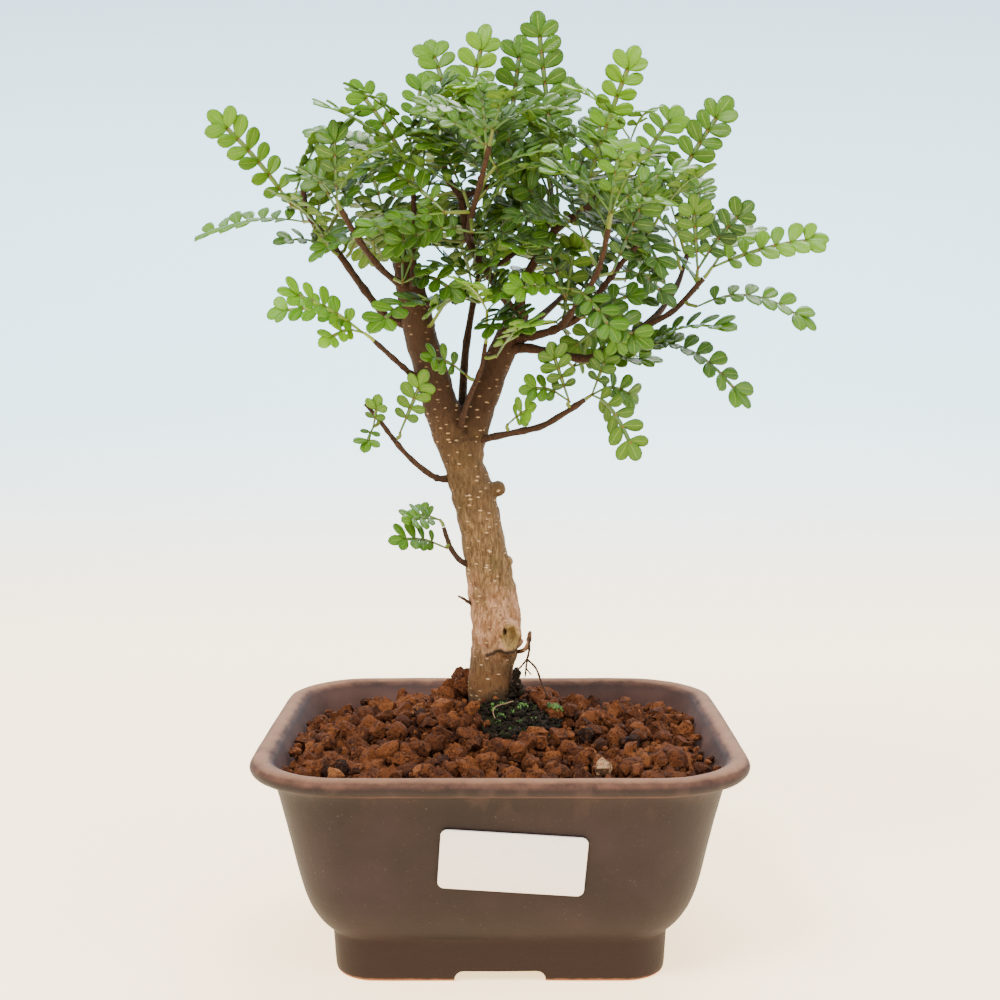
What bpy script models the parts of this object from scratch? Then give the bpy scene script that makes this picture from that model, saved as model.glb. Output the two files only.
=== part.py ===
"""Small pepper tree bonsai, a forked upright tree with pinnate leaves, in its stoneware pot.

Lengths are millimetres until a mesh is made, and the finished model is in metres, +Z up. The origin is
the middle of the pot, at the level that its feet stand on. The front of the tree faces -Y.
"""

import math
import random

import bmesh
import bpy
from mathutils import Matrix, Vector
from mathutils.bvhtree import BVHTree

MM = 0.001
GAP = 0.3

# Pot: sizes, how much shallower it is than wide, and the straight part of its wall as (half width, height)
POT_HEIGHT = 68.0
POT_HALF_WIDTH = 74.0
POT_DEPTH_LESS = 6.5
FOOT_BAND_TOP = 13.9
FOOT_HALF_WIDTH = 50.0
RIM_CORNER = 29.0
FOOT_CORNER = 13.0
CORNER_STEPS = 4
WALL_LOW = (60.0, 30.0)
WALL_HIGH = (65.3, 54.0)
INNER_FLOOR = 10.0
INSIDE_WALL = [(44.6, INNER_FLOOR), (50.0, 16.0), (55.2, 30.0), (60.2, 50.0), (64.0, 60.5)]
UNDERSIDE = 3.8
FOOT_GAP_HEIGHT = 3.4
FOOT_GAP_HALF = (13.5, 11.0)
DRAIN_RADIUS = 8.0

# Soil: its level, the mound round the trunk, and its grains
SOIL_LEVEL = 62.5
MOUND_HEIGHT = 12.0
MOUND_SPREAD = 24.0
GRAIN_PITCH = 8.6
TRUNK_FOOT = (-3.0, 12.0)
FOOT_RADIUS = 7.4
FOOT_BOTTOM = 40.0
HOLE_SIDES = 24
PEAT_CENTRE = (6.0, -7.0)
PEAT_RADIUS = 13.0
PEAT_BOTTOM = 62.0

# Drain mesh
MESH_SIZE = 26.0
MESH_THICKNESS = 0.8
MESH_HOLES = 3

# Blank label on the front wall
LABEL_SIZE = (42.0, 19.0)
LABEL_THICKNESS = 0.6
LABEL_MIDDLE = (3.6, 41.2)
LABEL_TURN = math.radians(-4.0)
LABEL_CORNER = 2.0

# Leaves
BLADE_THICKNESS = 0.6
RIB_HALF = 0.6
LEAFLET_LENGTH = 8.2
LEAFLET_HALF = 3.3
LEAFLET_LEAN = math.radians(24.0)
PAIR_SPACING = 12.0
STEM_RADIUS = 0.7
TRUNK_SIDES = 12
FORK_SIDES = 10
BRANCH_SIDES = 5
STEM_SIDES = 5

# Room that is kept between leaves: half the height of a frond's clear strip, and how far along its rib the
# strip begins, for all others and for the fronds of its own stem. A tip swings by steps until it is clear
CLEAR_HALF = 0.75
CLEAR_START = 0.02
SIBLING_START = 0.32
TRUNK_CLEAR = 0.9
LIMB_CLEAR = 0.7
TIP_SWINGS = [side * step for step in range(0, 25, 3) for side in (1, -1)]

# Sprays that fill the rear of the crown: how many, tries at most, the crown's middle, how far a
# target lies from its limb, the stem's length, the fronds' length, and the turn of each frond in degrees
FILLER_SPRAYS = 10
FILLER_TRIES = 9000
CROWN_MIDDLE = (0, 5, 205)
FILLER_REACH = (8, 60)
FILLER_STEM = (5, 12)
FILLER_FROND = (23, 36)
FILLER_TURNS = (0, 62, -62, 105, -105)
SEED = 11

# Wood: each limb is its route's points and its radius at both ends
TRUNK = [
    (-3.0, 12.0, FOOT_BOTTOM, FOOT_RADIUS), (-3.0, 12.0, 79.0, FOOT_RADIUS), (-1.6, 12.0, 90.0, 7.9),
    (-1.2, 12.0, 99.0, 8.2), (-2.7, 12.0, 109.0, 7.8), (-4.4, 11.0, 119.0, 7.3), (-6.5, 10.0, 131.0, 6.8),
    (-8.8, 10.0, 141.0, 7.1), (-11.5, 10.0, 149.0, 6.5), (-12.4, 10.0, 156.0, 7.1), (-12.8, 10.0, 160.5, 5.2),
]
LEFT_FORK = [
    (-13.5, 10.0, 153.0, 5.6), (-17.0, 9.6, 163.0, 6.0), (-20.0, 9.0, 172.5, 5.7), (-24.5, 8.0, 188.0, 5.2),
    (-26.2, 8.0, 196.0, 5.1), (-28.9, 8.0, 208.0, 4.4), (-30.6, 8.0, 214.5, 3.0), (-30.4, 8.0, 221.0, 1.1),
]
RIGHT_FORK = [
    (-12.0, 11.0, 153.0, 5.6), (-8.6, 11.5, 163.0, 5.6), (-5.0, 12.0, 172.5, 4.9), (0.5, 12.0, 186.0, 4.4),
    (4.0, 12.0, 194.0, 4.1), (6.6, 11.0, 199.5, 3.2),
]
LIMBS = {
    "right_low": (1.2, 0.9, [
        (-9, 9.5, 157), (-3, 7, 159), (7.6, 2, 161.4), (13.5, -1, 163.1), (20.9, -4, 167.6),
        (26.3, -6, 171.4)]),
    "left_low": (1.1, 0.75, [
        (-14, 10, 146), (-19.5, 8, 145.6), (-24, 4.5, 148.5), (-29.4, 2, 153.5), (-34, 0, 159.3),
        (-37.8, -2, 164.7), (-42, -4, 170.1)]),
    "left_mid": (1.1, 0.8, [
        (-22, 8, 178), (-27.5, 3.5, 179), (-30.4, 0, 181.5), (-34.5, -3, 185.3), (-38.9, -6, 189.5)]),
    "left_long": (1.4, 0.9, [
        (-26, 8, 193), (-33, 9, 196), (-37.6, 10, 198.8), (-44.6, 10, 207.8), (-50.8, 10, 216.6),
        (-55.8, 10, 223), (-60.8, 10, 229.4), (-62.6, 10, 237.9)]),
    "left_twig": (1.1, 0.8, [
        (-29, 7, 204), (-27.3, 2.5, 210), (-26.8, 1, 224), (-27, 0, 236)]),
    "left_back": (1.3, 0.8, [
        (-27, 9, 197), (-31, 21, 205), (-35, 36, 215), (-39, 50, 231)]),
    "left_front": (1.1, 0.8, [
        (-29, 7, 206), (-36, -6, 211), (-42, -19, 219), (-46, -32, 227)]),
    "centre_left": (1.5, 0.85, [
        (5.5, 11, 196), (2, 6, 202.5), (-5, 2, 212.6), (-9, 0, 219.2), (-11.2, 0, 227.8),
        (-12.4, 0, 234.5), (-15.8, 0, 239.1), (-18.5, 0, 246.4), (-22.2, 0, 253.7)]),
    "centre_twig": (0.85, 0.7, [
        (-12.3, 0, 234), (-6.5, 1, 236.4), (-2, 4, 238.5)]),
    "centre_cross": (0.85, 0.7, [
        (-4.6, 2.2, 212), (1, 3, 214.5), (7.2, 2, 219)]),
    "centre_front": (1.0, 0.75, [
        (-9.6, 0, 221), (-9, -13, 226), (-6, -28, 234), (-3, -40, 244)]),
    "centre_right": (1.6, 0.9, [
        (5.8, 11, 196), (7.5, 8, 207.7), (12.3, 6, 216.9), (18.5, 4, 225.7), (26.3, 0, 230),
        (34.2, -2, 238.9), (39.2, -4, 247.6)]),
    "centre_back": (1.2, 0.8, [
        (12.8, 6, 217.5), (15, 18, 226), (17, 32, 237), (17, 44, 248)]),
    "middle_back": (1.5, 0.8, [
        (-12.5, 12, 162), (-12, 21, 178), (-11, 26, 190), (-8, 34, 208), (-4, 44, 226), (0, 50, 240)]),
    "right_back": (1.4, 0.8, [
        (2, 13, 189), (11, 25, 196), (22, 38, 206), (34, 49, 219)]),
    "right_mid": (1.5, 0.85, [
        (3.4, 12, 190), (8.8, 8, 191), (16.9, 2, 193.1), (25.8, -2, 197.9), (32, -6, 206.3),
        (38, -6, 214), (45.5, -6, 222)]),
    "right_front": (1.0, 0.75, [
        (19.5, 0.5, 194.5), (24, -12, 201), (29, -26, 210), (31, -38, 221)]),
    "right_long": (1.5, 0.85, [
        (2.4, 12, 187), (8.6, 7, 187.5), (15.8, 4, 186.2), (26.6, 0, 184), (32, -2, 186.2),
        (40.9, -4, 191.4), (46.8, -6, 195), (53.9, -8, 199.2), (62.2, -10, 208.5)]),
    "right_far": (1.1, 0.75, [
        (41, -4, 191.5), (50, 8, 198), (58, 22, 208), (63, 33, 220)]),
    "fork_front": (1.0, 0.7, [
        (-13, 9, 160), (-12, 2.5, 165), (-9.4, 0, 172.8), (-5.9, -2, 181), (-4.6, -3, 188.5)]),
    "trunk_shoot": (1.0, 0.7, [
        (-7.5, 10, 116.5), (-12.6, 8, 118.8), (-15.6, 8, 122.5), (-17.0, 8, 126), (-18.2, 8, 129.8)]),
    "dead_spur": (0.9, 0.6, [
        (-5, 11, 104.5), (-10.8, 9, 105.2), (-13.6, 8, 107.2)]),
    "dead_stub": (1.1, 0.9, [
        (1, 11, 88.5), (6.6, 7.5, 88.8), (8.8, 6, 90.2), (9.4, 5.6, 95.5)]),
    "dry_twig": (0.7, 0.6, [
        (9.2, 5.8, 93), (9.9, 4.2, 87), (12.8, 1.5, 82), (16, -1.5, 77.5)]),
}
KNOBS = [
    ((-0.6, 8.5, 142.3), 2.7), ((2.4, 9.4, 118.6), 1.8), ((1.8, 4.9, 97.5), 3.3), ((2.6, 5.0, 90.8), 3.0),
]

# Leafy sprays that the front view shows, then those at the ends of the front and back limbs: carrier, end
# of the green stem, and for each frond how far along the stem it starts, its tip, how high its rib arches
# and which way its upper face looks
CAMERA = (0.0, -1.0, 0.35)
UP = (0.0, -0.5, 0.85)
FRONT_UP = (0.0, -0.8, 0.6)
UNDER = (0.1, 0.9, 0.45)
SPRAYS = {
    "left_tip": ("left_long", (-65.5, 4, 232), [
        (1, (-88.3, -6, 258.5), 2, CAMERA), (1, (-52, -14, 252), 3, UP)]),
    "left_edge": ("left_long", (-63, 14, 228), [
        (1, (-101, 28, 222.8), 3.5, UP), (1, (-72, 40, 238), 4, UP)]),
    "left_inner": ("left_long", (-53, 6, 218), [
        (1, (-70, -2, 219), 3, UP), (1, (-66, -22, 232), 4, UP)]),
    "left_bright": ("left_mid", (-42, -7, 192), [
        (1, (-65.2, -22, 204.3), 2, FRONT_UP), (1, (-72, -4, 197), 5, FRONT_UP),
        (1, (-54.5, -26, 187), 3, CAMERA)]),
    "left_crown": ("left_twig", (-27.8, 0, 251), [
        (0.3, (-45, -2, 267.7), 2, CAMERA), (0.3, (-53, -16, 257), 4, UP), (0.2, (-62, 8, 255), 4, UP),
        (1, (-44, -24, 262), 4, UP), (1, (-23.8, 2, 273), 0, CAMERA)]),
    "top_left": ("centre_left", (-13.5, 1, 249), [
        (1, (-22.4, 6, 283.2), 4, CAMERA), (1, (-4.3, 4, 286.4), 0, CAMERA)]),
    "centre_tip": ("centre_left", (-18, -5, 256), [
        (1, (-8, -28, 262), 4, UP)]),
    "top": ("centre_right", (18, 4, 236), [
        (1, (11.4, 2, 290.5), 0, CAMERA), (1, (14, 22, 264), 3, CAMERA)]),
    "top_back": ("centre_twig", (1.5, 7, 243), [
        (1, (6.9, 14, 286.2), 0, CAMERA), (1, (-12, 26, 270), 4, CAMERA)]),
    "right_top": ("centre_right", (28, 2, 240), [
        (1, (41.3, -4, 277.5), 2, CAMERA), (1, (34, 24, 262), 4, UP)]),
    "right_bright": ("centre_right", (40, -5, 251), [
        (1, (19.4, -22, 262.7), 4, UP), (1, (45, -30, 256), 3, UP)]),
    "right_fan": ("centre_right", (41.5, -4, 240), [
        (1, (56.8, -9, 262), 2, CAMERA), (1, (52, 22, 250), 3, UP)]),
    "right_tall": ("right_mid", (48.5, -6, 227), [
        (1, (69.9, -2, 262.4), 2, CAMERA), (1, (60, -32, 238), 3, UP)]),
    "right_dark": ("right_long", (60, -13, 211), [
        (1, (57.5, -19, 233), 0, CAMERA), (1, (75.7, -16, 230), 2, CAMERA)]),
    "right_tip": ("right_long", (65, -9, 212), [
        (1, (101.5, -4, 221), 2, FRONT_UP), (1, (84, 18, 224), 4, UP)]),
    "right_droop": ("right_long", (60, -12, 200), [
        (1, (96.9, -14, 192), 7, UP)]),
    "right_low": ("right_long", (45, -4, 188), [
        (1, (78.3, -10, 166.6), 8, UP), (1, (69.5, -24, 192), 4, UP)]),
    "low_tip": ("right_low", (28.5, -7.5, 173), [
        (1, (42.5, -20, 150.7), 5, UNDER), (1, (34, 2, 188), 0, CAMERA), (1, (45, 6, 169), 4, CAMERA)]),
    "low_front": ("right_low", (21.5, -7, 171), [
        (1, (15, -13, 189), 0, CAMERA), (1, (6, -16, 173), 3, CAMERA)]),
    "low_small": ("right_low", (2.5, 2, 163.5), [
        (1, (11, -12, 169), 1, CAMERA)]),
    "left_low": ("left_low", (-31.5, -1.5, 161), [
        (1, (-23, -9, 180), 0, CAMERA)]),
    "left_stub": ("left_low", (-39.5, -5.5, 163), [
        (1, (-41.5, -15, 155), 1, CAMERA), (1, (-37.5, -11, 172.5), 0, CAMERA)]),
    "trunk_low": ("trunk_shoot", (-17.2, 5.5, 123.5), [
        (1, (-34.5, -6, 126.8), 2, FRONT_UP)]),
    "trunk_top": ("trunk_shoot", (-19.6, 8.5, 132.4), [
        (1, (-31, 19, 132.5), 1, FRONT_UP), (1, (-30.5, -3, 133), 1, FRONT_UP)]),
    "front_bright": ("fork_front", (-4, -6.5, 199), [
        (1, (-11, -33, 206), 2, UP), (1, (8, -31, 205), 2, UP)]),
    "front_arch": ("left_fork", (-18, -3, 200), [
        (1, (-38.5, -30, 190), 6, UP)]),
    "front_right": ("fork_front", (-1, -6, 185), [
        (1, (12, -34, 193), 4, UP)]),
    "front_dark": ("fork_front", (-10.5, -3.5, 179), [
        (1, (-23.5, -16, 184), 2, CAMERA), (1, (1, -18, 177), 2, CAMERA)]),
    "front_left": ("left_front", (-47, -36, 230), [
        (1, (-58, -52, 232), 4, UP), (1, (-32, -58, 240), 4, UP)]),
    "front_centre": ("centre_front", (-2, -44, 248), [
        (1, (4, -60, 254), 4, UP), (1, (-24, -56, 250), 4, UP), (1, (22, -54, 250), 4, UP)]),
    "front_middle": ("right_front", (31.5, -42, 225), [
        (1, (40, -60, 238), 4, UP), (1, (54, -46, 236), 4, UP), (1, (12, -58, 234), 4, UP)]),
    "back_left": ("left_back", (-40.5, 53, 235), [
        (1, (-50, 60, 262), 2, UP), (1, (-68, 50, 246), 4, UP), (1, (-20, 58, 252), 4, UP)]),
    "back_centre": ("middle_back", (1.5, 53, 245), [(1, (-8, 60, 270), 2, UP), (1, (-26, 58, 262), 3, UP)]),
    "back_top": ("centre_back", (17.5, 47, 253), [(1, (24, 58, 280), 2, UP), (1, (42, 52, 268), 3, UP)]),
    "back_right": ("right_back", (37, 52, 223), [
        (1, (58, 60, 238), 3, UP), (1, (30, 60, 246), 2, UP), (1, (52, 56, 212), 5, UP)]),
    "back_far": ("right_far", (66, 36, 224), [
        (1, (80, 48, 232), 3, UP), (1, (88, 30, 222), 4, UP), (1, (70, 56, 246), 3, UP)]),
}

# The leafy masses that the remaining sprays fill, as ellipsoids: middle and half sizes
MASSES = [
    ((-46, 2, 240), (24, 44, 19)), ((-40, 8, 215), (26, 46, 17)), ((-8, 4, 252), (28, 46, 22)),
    ((0, 6, 226), (30, 52, 24)), ((30, 4, 234), (28, 46, 24)), ((54, 2, 216), (26, 42, 21)),
    ((38, 4, 194), (26, 36, 15)), ((2, 6, 198), (34, 40, 14)), ((24, 2, 178), (15, 22, 12)),
]
CARRIERS = ["left_long", "left_mid", "left_back", "left_front", "centre_left", "centre_front", "centre_right",
            "centre_back", "middle_back", "right_back", "right_mid", "right_front", "right_long", "right_far",
            "right_low", "centre_cross"]


def clear_scene():
    for obj in list(bpy.data.objects):
        bpy.data.objects.remove(obj, do_unlink=True)


def material(name, colour, roughness, metallic=0.0):
    made = bpy.data.materials.new(name)
    made.use_nodes = True
    shader = made.node_tree.nodes["Principled BSDF"]
    shader.inputs["Base Color"].default_value = (*colour, 1.0)
    shader.inputs["Roughness"].default_value = roughness
    shader.inputs["Metallic"].default_value = metallic
    return made


def add_solid(name, solid):
    """An object from a solid, its points in millimetres and its faces turned outwards."""
    points, faces = solid
    mesh = bpy.data.meshes.new(name)
    mesh.from_pydata([Vector(p) * MM for p in points], [], faces)
    shape = bmesh.new()
    shape.from_mesh(mesh)
    bmesh.ops.recalc_face_normals(shape, faces=shape.faces)
    shape.to_mesh(mesh)
    shape.free()
    obj = bpy.data.objects.new(name, mesh)
    bpy.context.scene.collection.objects.link(obj)
    return obj


def apply_modifiers(obj):
    bpy.context.view_layer.update()
    evaluated = obj.evaluated_get(bpy.context.evaluated_depsgraph_get())
    mesh = bpy.data.meshes.new_from_object(evaluated)
    obj.modifiers.clear()
    obj.data = mesh


def combine(obj, solids, operation):
    """Joins solids to an object, or cuts them from it, and leaves one mesh."""
    tools = bpy.data.collections.new("tools")
    bpy.context.scene.collection.children.link(tools)
    for solid in solids:
        tool = add_solid("tool", solid)
        bpy.context.scene.collection.objects.unlink(tool)
        tools.objects.link(tool)
    modifier = obj.modifiers.new("combine", "BOOLEAN")
    modifier.operation = operation
    modifier.operand_type = "COLLECTION"
    modifier.collection = tools
    modifier.solver = "EXACT"
    apply_modifiers(obj)
    for tool in list(tools.objects):
        bpy.data.objects.remove(tool, do_unlink=True)
    bpy.data.collections.remove(tools)


def finish(obj, look, smooth_angle=None):
    obj.data.materials.clear()
    obj.data.materials.append(look)
    if smooth_angle:
        obj.data.shade_smooth()
        obj.data.set_sharp_from_angle(angle=math.radians(smooth_angle))


def loft(rings):
    """A solid through rings of equally many points, closed at both ends."""
    count = len(rings[0])
    faces = [tuple(range(count))]
    for level in range(len(rings) - 1):
        low, high = level * count, (level + 1) * count
        for k in range(count):
            following = (k + 1) % count
            faces.append((low + k, low + following, high + following, high + k))
    faces.append(tuple(range((len(rings) - 1) * count, len(rings) * count)))
    return [p for ring in rings for p in ring], faces


def round_box(half_x, half_y, corner, z):
    """A level ring, a rectangle with round corners."""
    ring = []
    for quarter, (sx, sy) in enumerate([(1, 1), (-1, 1), (-1, -1), (1, -1)]):
        for step in range(CORNER_STEPS + 1):
            angle = math.radians(90.0 * (quarter + step / CORNER_STEPS))
            ring.append((sx * (half_x - corner) + corner * math.cos(angle),
                         sy * (half_y - corner) + corner * math.sin(angle), z))
    return ring


def circle(middle, radius, z, sides):
    turn = 2 * math.pi / sides
    return [(middle[0] + radius * math.cos(k * turn), middle[1] + radius * math.sin(k * turn), z)
            for k in range(sides)]


def tube(route, radii, sides):
    """A round solid along a route, with flat ends square to it."""
    points = [Vector(p) for p in route]
    rings = []
    across = None
    for k, point in enumerate(points):
        before, after = points[max(k - 1, 0)], points[min(k + 1, len(points) - 1)]
        along = (after - before).normalized()
        if across is None:
            across = along.orthogonal().normalized()
        across = (across - along * across.dot(along)).normalized()
        other = along.cross(across)
        ring = []
        for side in range(sides):
            angle = 2 * math.pi * side / sides
            ring.append(point + (across * math.cos(angle) + other * math.sin(angle)) * radii[k])
        rings.append(ring)
    return loft(rings)


def ball(middle, radius):
    """A small rounded knob."""
    shape = bmesh.new()
    bmesh.ops.create_icosphere(shape, subdivisions=1, radius=radius)
    points = [v.co + Vector(middle) for v in shape.verts]
    faces = [tuple(v.index for v in f.verts) for f in shape.faces]
    shape.free()
    return points, faces


def thicken(points, normals, triangles, thickness):
    """A solid plate from a sheet of triangles, split alike on both faces."""
    count = len(points)
    top = [p + n * (thickness / 2) for p, n in zip(points, normals)]
    bottom = [p - n * (thickness / 2) for p, n in zip(points, normals)]
    faces = []
    directed = set()
    for a, b, c in triangles:
        faces.append((a, b, c))
        faces.append((c + count, b + count, a + count))
        directed.update([(a, b), (b, c), (c, a)])
    for a, b in sorted(directed):
        if (b, a) not in directed:
            faces.append((b, a, a + count, b + count))
    return top + bottom, faces


# Pot

def pot_half_width(z):
    """Outside half width of the wall between its foot and its lip."""
    slope = (WALL_HIGH[0] - WALL_LOW[0]) / (WALL_HIGH[1] - WALL_LOW[1])
    return WALL_LOW[0] + (z - WALL_LOW[1]) * slope


def pot_ring(half_width, z):
    share = (half_width - FOOT_HALF_WIDTH) / (POT_HALF_WIDTH - FOOT_HALF_WIDTH)
    corner = max(FOOT_CORNER + (RIM_CORNER - FOOT_CORNER) * share, 6.0)
    return round_box(half_width, half_width - POT_DEPTH_LESS, corner, z)


def build_pot():
    outside = [
        (FOOT_HALF_WIDTH - 9.0, UNDERSIDE), (FOOT_HALF_WIDTH - 8.4, 0.0), (FOOT_HALF_WIDTH - 0.8, 0.0),
        (FOOT_HALF_WIDTH, 0.9), (FOOT_HALF_WIDTH + 0.5, FOOT_BAND_TOP - 1.4), (51.2, FOOT_BAND_TOP),
        (54.6, 17.0), (57.3, 21.6), (58.9, 26.0), WALL_LOW, WALL_HIGH, (67.0, 60.6), (69.0, 62.2),
        (72.0, 62.6), (73.6, 63.9), (POT_HALF_WIDTH, 65.8), (73.1, 67.4), (71.1, POT_HEIGHT),
        (68.7, 67.6), (67.0, 66.0),
    ]
    pot = add_solid("pot", loft([pot_ring(*level) for level in outside + INSIDE_WALL[::-1]]))
    reach = 2 * POT_HALF_WIDTH
    cuts = []
    for half_x, half_y in [(FOOT_GAP_HALF[0], reach), (reach, FOOT_GAP_HALF[1])]:
        cuts.append(loft([round_box(half_x, half_y, 0.6, z) for z in (-2.0, FOOT_GAP_HEIGHT)]))
    combine(pot, cuts[:1], "DIFFERENCE")
    combine(pot, cuts[1:], "DIFFERENCE")
    drain = loft([circle((0, 0), DRAIN_RADIUS, z, 16) for z in (UNDERSIDE - 3.0, INNER_FLOOR + 3.0)])
    combine(pot, [drain], "DIFFERENCE")
    finish(pot, material("stoneware", (0.075, 0.055, 0.05), 0.5), 38)


def inside_rings(clear):
    """The rings of the space inside the pot, held clear of its wall."""
    levels = [(INSIDE_WALL[0][0], INNER_FLOOR + clear)] + INSIDE_WALL[1:] + [(67.0, 66.0), (67.4, 84.0)]
    return [pot_ring(half - 1.3 * clear, z) for half, z in levels]


# Soil

def mound(x, y):
    away = (x - TRUNK_FOOT[0]) ** 2 + (y - TRUNK_FOOT[1]) ** 2
    return SOIL_LEVEL + MOUND_HEIGHT * math.exp(-away / (2 * MOUND_SPREAD ** 2))


def grain_block(middle, reach, pitch, height, bottom, chance, bump):
    """A block whose top is a close lattice of angular grains: each third lattice point stands up."""
    step = pitch / math.sqrt(3)
    count = int(reach / step) + 3
    points, index = [], {}
    for j in range(-count, count + 1):
        for i in range(-2 * count, 2 * count + 1):
            x, y = step * (i + j / 2), step * j * math.sqrt(3) / 2
            if abs(x) > reach or abs(y) > reach:
                continue
            if (i - j) % 3 == 0:
                rise = chance.uniform(0.35, 1.0) * bump
            else:
                rise = -chance.uniform(0.3, 0.9) * bump
            shift = [chance.uniform(-0.16, 0.16) * step for _ in range(2)]
            index[i, j] = len(points)
            place = (middle[0] + x + shift[0], middle[1] + y + shift[1])
            points.append((*place, height(*place) + rise))
    triangles = []
    for i, j in index:
        if (i + 1, j) in index and (i, j + 1) in index:
            triangles.append((index[i, j], index[i + 1, j], index[i, j + 1]))
        if (i + 1, j) in index and (i + 1, j - 1) in index:
            triangles.append((index[i, j], index[i + 1, j - 1], index[i + 1, j]))
    count = len(points)
    points += [(p[0], p[1], bottom) for p in points]
    directed = {(t[k], t[(k + 1) % 3]) for t in triangles for k in range(3)}
    faces = triangles + [(c + count, b + count, a + count) for a, b, c in triangles]
    faces += [(b, a, a + count, b + count) for a, b in sorted(directed) if (b, a) not in directed]
    return points, faces


def trunk_hole():
    radius = (FOOT_RADIUS + GAP) / math.cos(math.pi / HOLE_SIDES)
    return loft([circle(TRUNK_FOOT, radius, z, HOLE_SIDES) for z in (FOOT_BOTTOM - GAP, 100.0)])


def peat_outline(extra, z):
    ring = []
    for k in range(20):
        angle = 2 * math.pi * k / 20
        radius = PEAT_RADIUS * (1 + 0.07 * math.sin(3 * angle) + 0.05 * math.sin(5 * angle + 1)) + extra
        x, y = PEAT_CENTRE[0] + radius * math.cos(angle), PEAT_CENTRE[1] + radius * math.sin(angle)
        ring.append((x, y, z))
    return ring


def build_soil(chance):
    block = grain_block((0, 0), POT_HALF_WIDTH + 4, GRAIN_PITCH, mound, -20.0, chance, 2.1)
    soil = add_solid("soil", block)
    combine(soil, [loft(inside_rings(GAP))], "INTERSECT")
    combine(soil, [trunk_hole()], "DIFFERENCE")
    combine(soil, [loft([peat_outline(0.0, z) for z in (PEAT_BOTTOM, 100.0)])], "DIFFERENCE")
    half = MESH_SIZE / 2 + GAP
    top = INNER_FLOOR + MESH_THICKNESS + 2 * GAP
    combine(soil, [loft([round_box(half, half, 1.0, z) for z in (INNER_FLOOR - 5.0, top)])], "DIFFERENCE")
    finish(soil, material("red_grains", (0.19, 0.06, 0.03), 0.95))


def build_peat(chance):
    def rise(x, y):
        return mound(x, y) + 0.3

    block = grain_block(PEAT_CENTRE, 2 * PEAT_RADIUS, 4.4, rise, 40.0, chance, 0.8)
    peat = add_solid("peat_patch", block)
    bounds = loft([peat_outline(-GAP - 0.1, z) for z in (PEAT_BOTTOM + GAP, 100.0)])
    combine(peat, [bounds], "INTERSECT")
    combine(peat, [trunk_hole()], "DIFFERENCE")
    finish(peat, material("peat_and_moss", (0.03, 0.03, 0.012), 0.95))


def build_drain_mesh():
    """A thin square plate with square holes, lying over the drain hole."""
    cells = 2 * MESH_HOLES + 1
    step = MESH_SIZE / cells
    low = -MESH_SIZE / 2
    level = INNER_FLOOR + GAP + MESH_THICKNESS / 2
    places = [low + k * step for k in range(cells + 1)]
    points = [Vector((x, y, level)) for y in places for x in places]
    triangles = []
    for j in range(cells):
        for i in range(cells):
            if i % 2 and j % 2:
                continue
            a, b = j * (cells + 1) + i, (j + 1) * (cells + 1) + i
            triangles += [(a, a + 1, b + 1), (a, b + 1, b)]
    up = [Vector((0, 0, 1))] * len(points)
    plate = add_solid("drain_mesh", thicken(points, up, triangles, MESH_THICKNESS))
    finish(plate, material("green_plastic", (0.02, 0.09, 0.05), 0.5))


def build_label():
    half_x, half_y = LABEL_SIZE[0] / 2, LABEL_SIZE[1] / 2
    plate = loft([round_box(half_x, half_y, LABEL_CORNER, z) for z in (GAP, GAP + LABEL_THICKNESS)])
    lean = math.atan2(WALL_HIGH[0] - WALL_LOW[0], WALL_HIGH[1] - WALL_LOW[1])
    front = -(pot_half_width(LABEL_MIDDLE[1]) - POT_DEPTH_LESS)
    place = (Matrix.Translation((LABEL_MIDDLE[0], front, LABEL_MIDDLE[1]))
             @ Matrix.Rotation(math.pi / 2 + lean, 4, "X") @ Matrix.Rotation(LABEL_TURN, 4, "Z"))
    points = [place @ Vector(p) for p in plate[0]]
    label = add_solid("blank_label", (points, plate[1]))
    finish(label, material("white_card", (0.85, 0.85, 0.86), 0.35))


# Wood

def limb_points(name):
    """The limb's route as points with a radius each."""
    if name == "left_fork":
        return LEFT_FORK
    first, last, route = LIMBS[name]
    share = 1 / (len(route) - 1)
    return [(*p, first + (last - first) * k * share) for k, p in enumerate(route)]


def limb_solid(points, sides, extra=0.0):
    return tube([p[:3] for p in points], [p[3] + extra for p in points], sides)


def build_wood():
    wood = add_solid("tree_wood", limb_solid(TRUNK, TRUNK_SIDES))
    solids = [limb_solid(fork, FORK_SIDES) for fork in (LEFT_FORK, RIGHT_FORK)]
    solids += [limb_solid(limb_points(name), BRANCH_SIDES) for name in LIMBS]
    solids += [ball(middle, radius) for middle, radius in KNOBS]
    combine(wood, solids, "UNION")
    finish(wood, material("bark", (0.2, 0.12, 0.075), 0.85), 50)


# Fronds: a rib from base to tip that arches by its lift, with a leaf blade facing one way

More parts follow.
